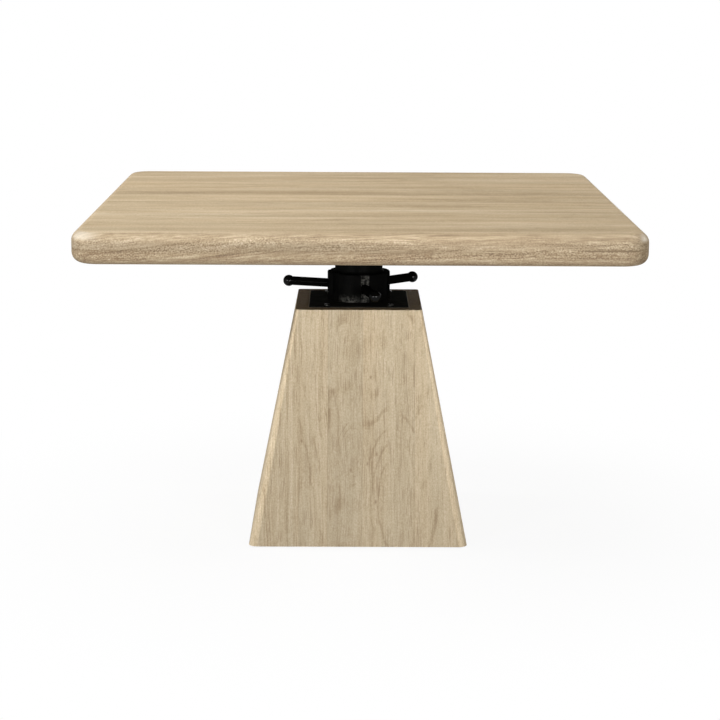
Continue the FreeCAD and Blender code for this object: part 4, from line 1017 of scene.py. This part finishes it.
def painted_corner_highlights(tree, wood, place, upward):
    """Mix a painted highlight in at the slab's four corners, on the upper round where the side lamps would
    glint.

    The patch is a product of smooth steps: towards each end along X, towards front and back along Y, and
    over the part of the round that looks neither sideways nor straight up.
    """
    x, y, _ = add(tree, "ShaderNodeSeparateXYZ", {"Vector": place}).outputs
    rubbed = 0.0
    for start, full, share in HIGHLIGHT_ENDS:
        end = add(
            tree,
            "ShaderNodeMapRange",
            {"Value": x, "From Min": start, "From Max": full, "To Min": 0.0, "To Max": share},
            interpolation_type="SMOOTHSTEP",
        )
        rubbed = add(tree, "ShaderNodeMath", {0: end, 1: rubbed}, operation="MAXIMUM")
    deep = add(tree, "ShaderNodeMath", {0: y}, operation="ABSOLUTE")
    limits = [(deep, HIGHLIGHT_DEPTH)] + [(upward, reach) for reach in HIGHLIGHT_ROUND]
    for value, (start, full) in limits:
        part = add(
            tree,
            "ShaderNodeMapRange",
            {"Value": value, "From Min": start, "From Max": full},
            interpolation_type="SMOOTHSTEP",
        )
        rubbed = add(tree, "ShaderNodeMath", {0: part, 1: rubbed}, operation="MULTIPLY")
    corner_glint = linear(HIGHLIGHT_COLOUR)
    return add(tree, "ShaderNodeMix", {0: rubbed, 6: wood, 7: corner_glint}, data_type="RGBA").outputs[2]


for strip, side in STRIPS.items():
    dress(
        strip,
        washed_hardwood(
            "washed_hardwood_" + strip,
            turn=(-side * math.pi / 2, Matrix.Identity(3)),
            pith=(0, -0.53, 0.68),
            seed=11 + side,
            **STRIP_WOOD,
        ),
    )

# Tabletop boards
# Nine flat-sawn boards, edge-glued with the grain along X, planed flush and rounded over at the rim as
# one slab. Each comes from another log, so tone and figure change a little at every glue line.
TOP_SIZE = 1.2
BOARD_WOOD = {
    "stops": ((0.05, "#a28d6d"), (0.38, "#b9a484"), (0.62, "#c5b090"), (0.95, "#d8c5a7")),
    "ring": (20, 0.35),
    "line": (18, 0.10),
    "streak": (560, 52, 0.95),
    "cloud": (800, 150, 0.85),
    "fibre": (90, 4.0, 0.55),
    "pore": (40, 2.3, 0.40),
    "speck": (2.8, 0.90),
    "rim": ((0.10, "#806d58"), (0.40, "#a28f75"), (0.60, "#b4a287"), (0.92, "#cfbea7")),
}
# How far along its log each board is cut, front to back
BOARD_SEEDS = (101, 39, 40, 23, 87, 70, 62, 27, 73)
luck = np.random.default_rng(7)
for board, seed in enumerate(BOARD_SEEDS):
    middle = -TOP_SIZE / 2 + (board + 0.5) * TOP_SIZE / len(BOARD_SEEDS)
    dress(
        f"top_board_{board + 1}",
        washed_hardwood(
            f"washed_hardwood_board_{board + 1}",
            turn=(0.0, Matrix.Rotation(math.radians(luck.uniform(-1.5, 1.5)), 3, "Z")),
            pith=(0, middle + luck.uniform(-0.05, 0.05), luck.uniform(0.66, 0.72)),
            seed=seed,
            tones=(luck.uniform(0.97, 1.03),),
            **BOARD_WOOD,
        ),
    )

# Floor and light
# A plain white floor and room. Two soft boxes stand low in front, so that light gets in under the top,
# two stand high at the sides and two hang above, with one low behind. Near the table the floor keeps part
# of its shadow.
FLOOR_HALF = 12.0
floor = set_mesh(
    "studio_floor",
    np.array([(-1, -1, 0), (1, -1, 0), (1, 1, 0), (-1, 1, 0)]) * FLOOR_HALF,
    [(0, 1, 2, 3)],
)
paper, paper_tree, paper_shader = new_material("white_paper_floor")
paper_shader.inputs["Roughness"].default_value = 0.9
paper_shader.inputs["Specular IOR Level"].default_value = 0.0


def seen_white(tree):
    """One where the ray comes from the camera, a mirror or glass, zero for light on matt things."""
    ray = add(tree, "ShaderNodeLightPath", {}).outputs
    seen = add(
        tree,
        "ShaderNodeMath",
        {0: ray["Is Camera Ray"], 1: ray["Is Glossy Ray"]},
        operation="MAXIMUM",
    )
    return add(tree, "ShaderNodeMath", {0: seen, 1: ray["Is Transmission Ray"]}, operation="MAXIMUM")


# Seen directly the paper is white; the light that it throws back on the table is that of a grey card
paper_seen = seen_white(paper_tree)
paper_colour = add(
    paper_tree,
    "ShaderNodeMix",
    {0: paper_seen, 6: linear("#9a9a9a"), 7: linear("#f4f4f4")},
    data_type="RGBA",
)
paper_tree.links.new(paper_colour.outputs[2], paper_shader.inputs["Base Color"])
paper_place = add(paper_tree, "ShaderNodeTexCoord", {}).outputs["Object"]
paper_away = add(paper_tree, "ShaderNodeVectorMath", {0: paper_place}, operation="LENGTH").outputs["Value"]
paper_glow = add(
    paper_tree,
    "ShaderNodeMapRange",
    {"Value": paper_away, "From Min": 0.4, "From Max": 1.3, "To Min": 0.91, "To Max": 1.0},
    interpolation_type="SMOOTHSTEP",
)
white_share = add(paper_tree, "ShaderNodeMath", {0: paper_seen, 1: paper_glow}, operation="MULTIPLY")
glow = add(paper_tree, "ShaderNodeEmission", {"Color": (1, 1, 1, 1), "Strength": 1.0})
paper_mix = add(paper_tree, "ShaderNodeMixShader", {0: white_share, 1: paper_shader, 2: glow})
paper_tree.links.new(paper_mix.outputs[0], paper_tree.nodes["Material Output"].inputs["Surface"])
floor.data.materials.append(paper)

world = bpy.data.worlds.new("white_room")
world.use_nodes = True
bpy.context.scene.world = world
room = world.node_tree
dim = room.nodes["Background"]
dim.inputs["Color"].default_value = (1, 1, 1, 1)
dim.inputs["Strength"].default_value = 0.10
white = add(room, "ShaderNodeBackground", {"Color": (1, 1, 1, 1), "Strength": 1.0})
room_mix = add(room, "ShaderNodeMixShader", {0: seen_white(room), 1: dim, 2: white})
room.links.new(room_mix.outputs[0], room.nodes["World Output"].inputs["Surface"])


def soft_box(name, place, aim, width, height, level, half_angle):
    """A rectangular soft box behind a grid, so that its light fades away from the point that it aims at.

    Level 1 alone renders a matt colour about as it is written on a face turned to it. Half angle in
    degrees is where the grid cuts the light off.
    """
    lamp = bpy.data.lights.new(name, "AREA")
    lamp.shape = "RECTANGLE"
    lamp.size = width
    lamp.size_y = height
    half_spread = math.radians(half_angle)
    lamp.spread = 2 * half_spread
    way = Vector(aim) - Vector(place)
    on_axis = 1 - half_spread / math.tan(half_spread)
    lamp.energy = level * math.pi**2 * way.length_squared * on_axis
    box = bpy.data.objects.new(name, lamp)
    box.location = place
    box.rotation_euler = way.to_track_quat("-Z", "Y").to_euler()
    bpy.context.scene.collection.objects.link(box)


# Place, aim, width, height, level and half angle of each
SOFT_BOXES = {
    "left_box": ((-2.95, -4.12, 0.95), (0, 0, 0.95), 1.3, 0.8, 0.67, 36),
    "front_box": ((1.78, -4.82, 0.95), (0.2, 0, 0.95), 1.3, 0.8, 0.70, 36),
    "left_side_box": ((-3.70, 0.45, 3.05), (0, 0, 0.72), 1.4, 1.4, 0.75, 50),
    "right_side_box": ((3.70, 0.45, 3.05), (0, 0, 0.72), 1.4, 1.4, 0.38, 50),
    "overhead_box": ((-0.8, -1.3, 3.5), (-0.1, -0.3, 0.77), 2.4, 1.8, 0.36, 50),
    "high_back_box": ((-0.3, 3.2, 4.0), (0, 0, 0.77), 2.4, 1.6, 0.16, 50),
    "low_back_box": ((1.4, 5.2, 0.55), (0, 0, 0.5), 2.0, 0.9, 0.25, 50),
}
for box_name, settings in SOFT_BOXES.items():
    soft_box(box_name, *settings)

# Camera
# A long lens stands a little above the top and looks slightly down, as in the photograph.
# It is held a third of a degree off level. Angles are in radians.
CAMERA_PLACE = (-0.02673, -4.6622, 1.3396)
YAW, PITCH_DOWN, ROLL = -0.0066, 0.2010, 0.0056
lens = bpy.data.cameras.new("camera")
lens.sensor_width = 36.0
lens.sensor_fit = "HORIZONTAL"
lens.lens = 99.97
camera = bpy.data.objects.new("camera", lens)
aim = Matrix.Rotation(YAW, 4, "Z") @ Matrix.Rotation(math.pi / 2 - PITCH_DOWN, 4, "X")
aim = aim @ Matrix.Rotation(ROLL, 4, "Z")
camera.matrix_world = Matrix.Translation(CAMERA_PLACE) @ aim
bpy.context.scene.collection.objects.link(camera)
bpy.context.scene.camera = camera
bpy.context.scene.view_settings.view_transform = "Standard"
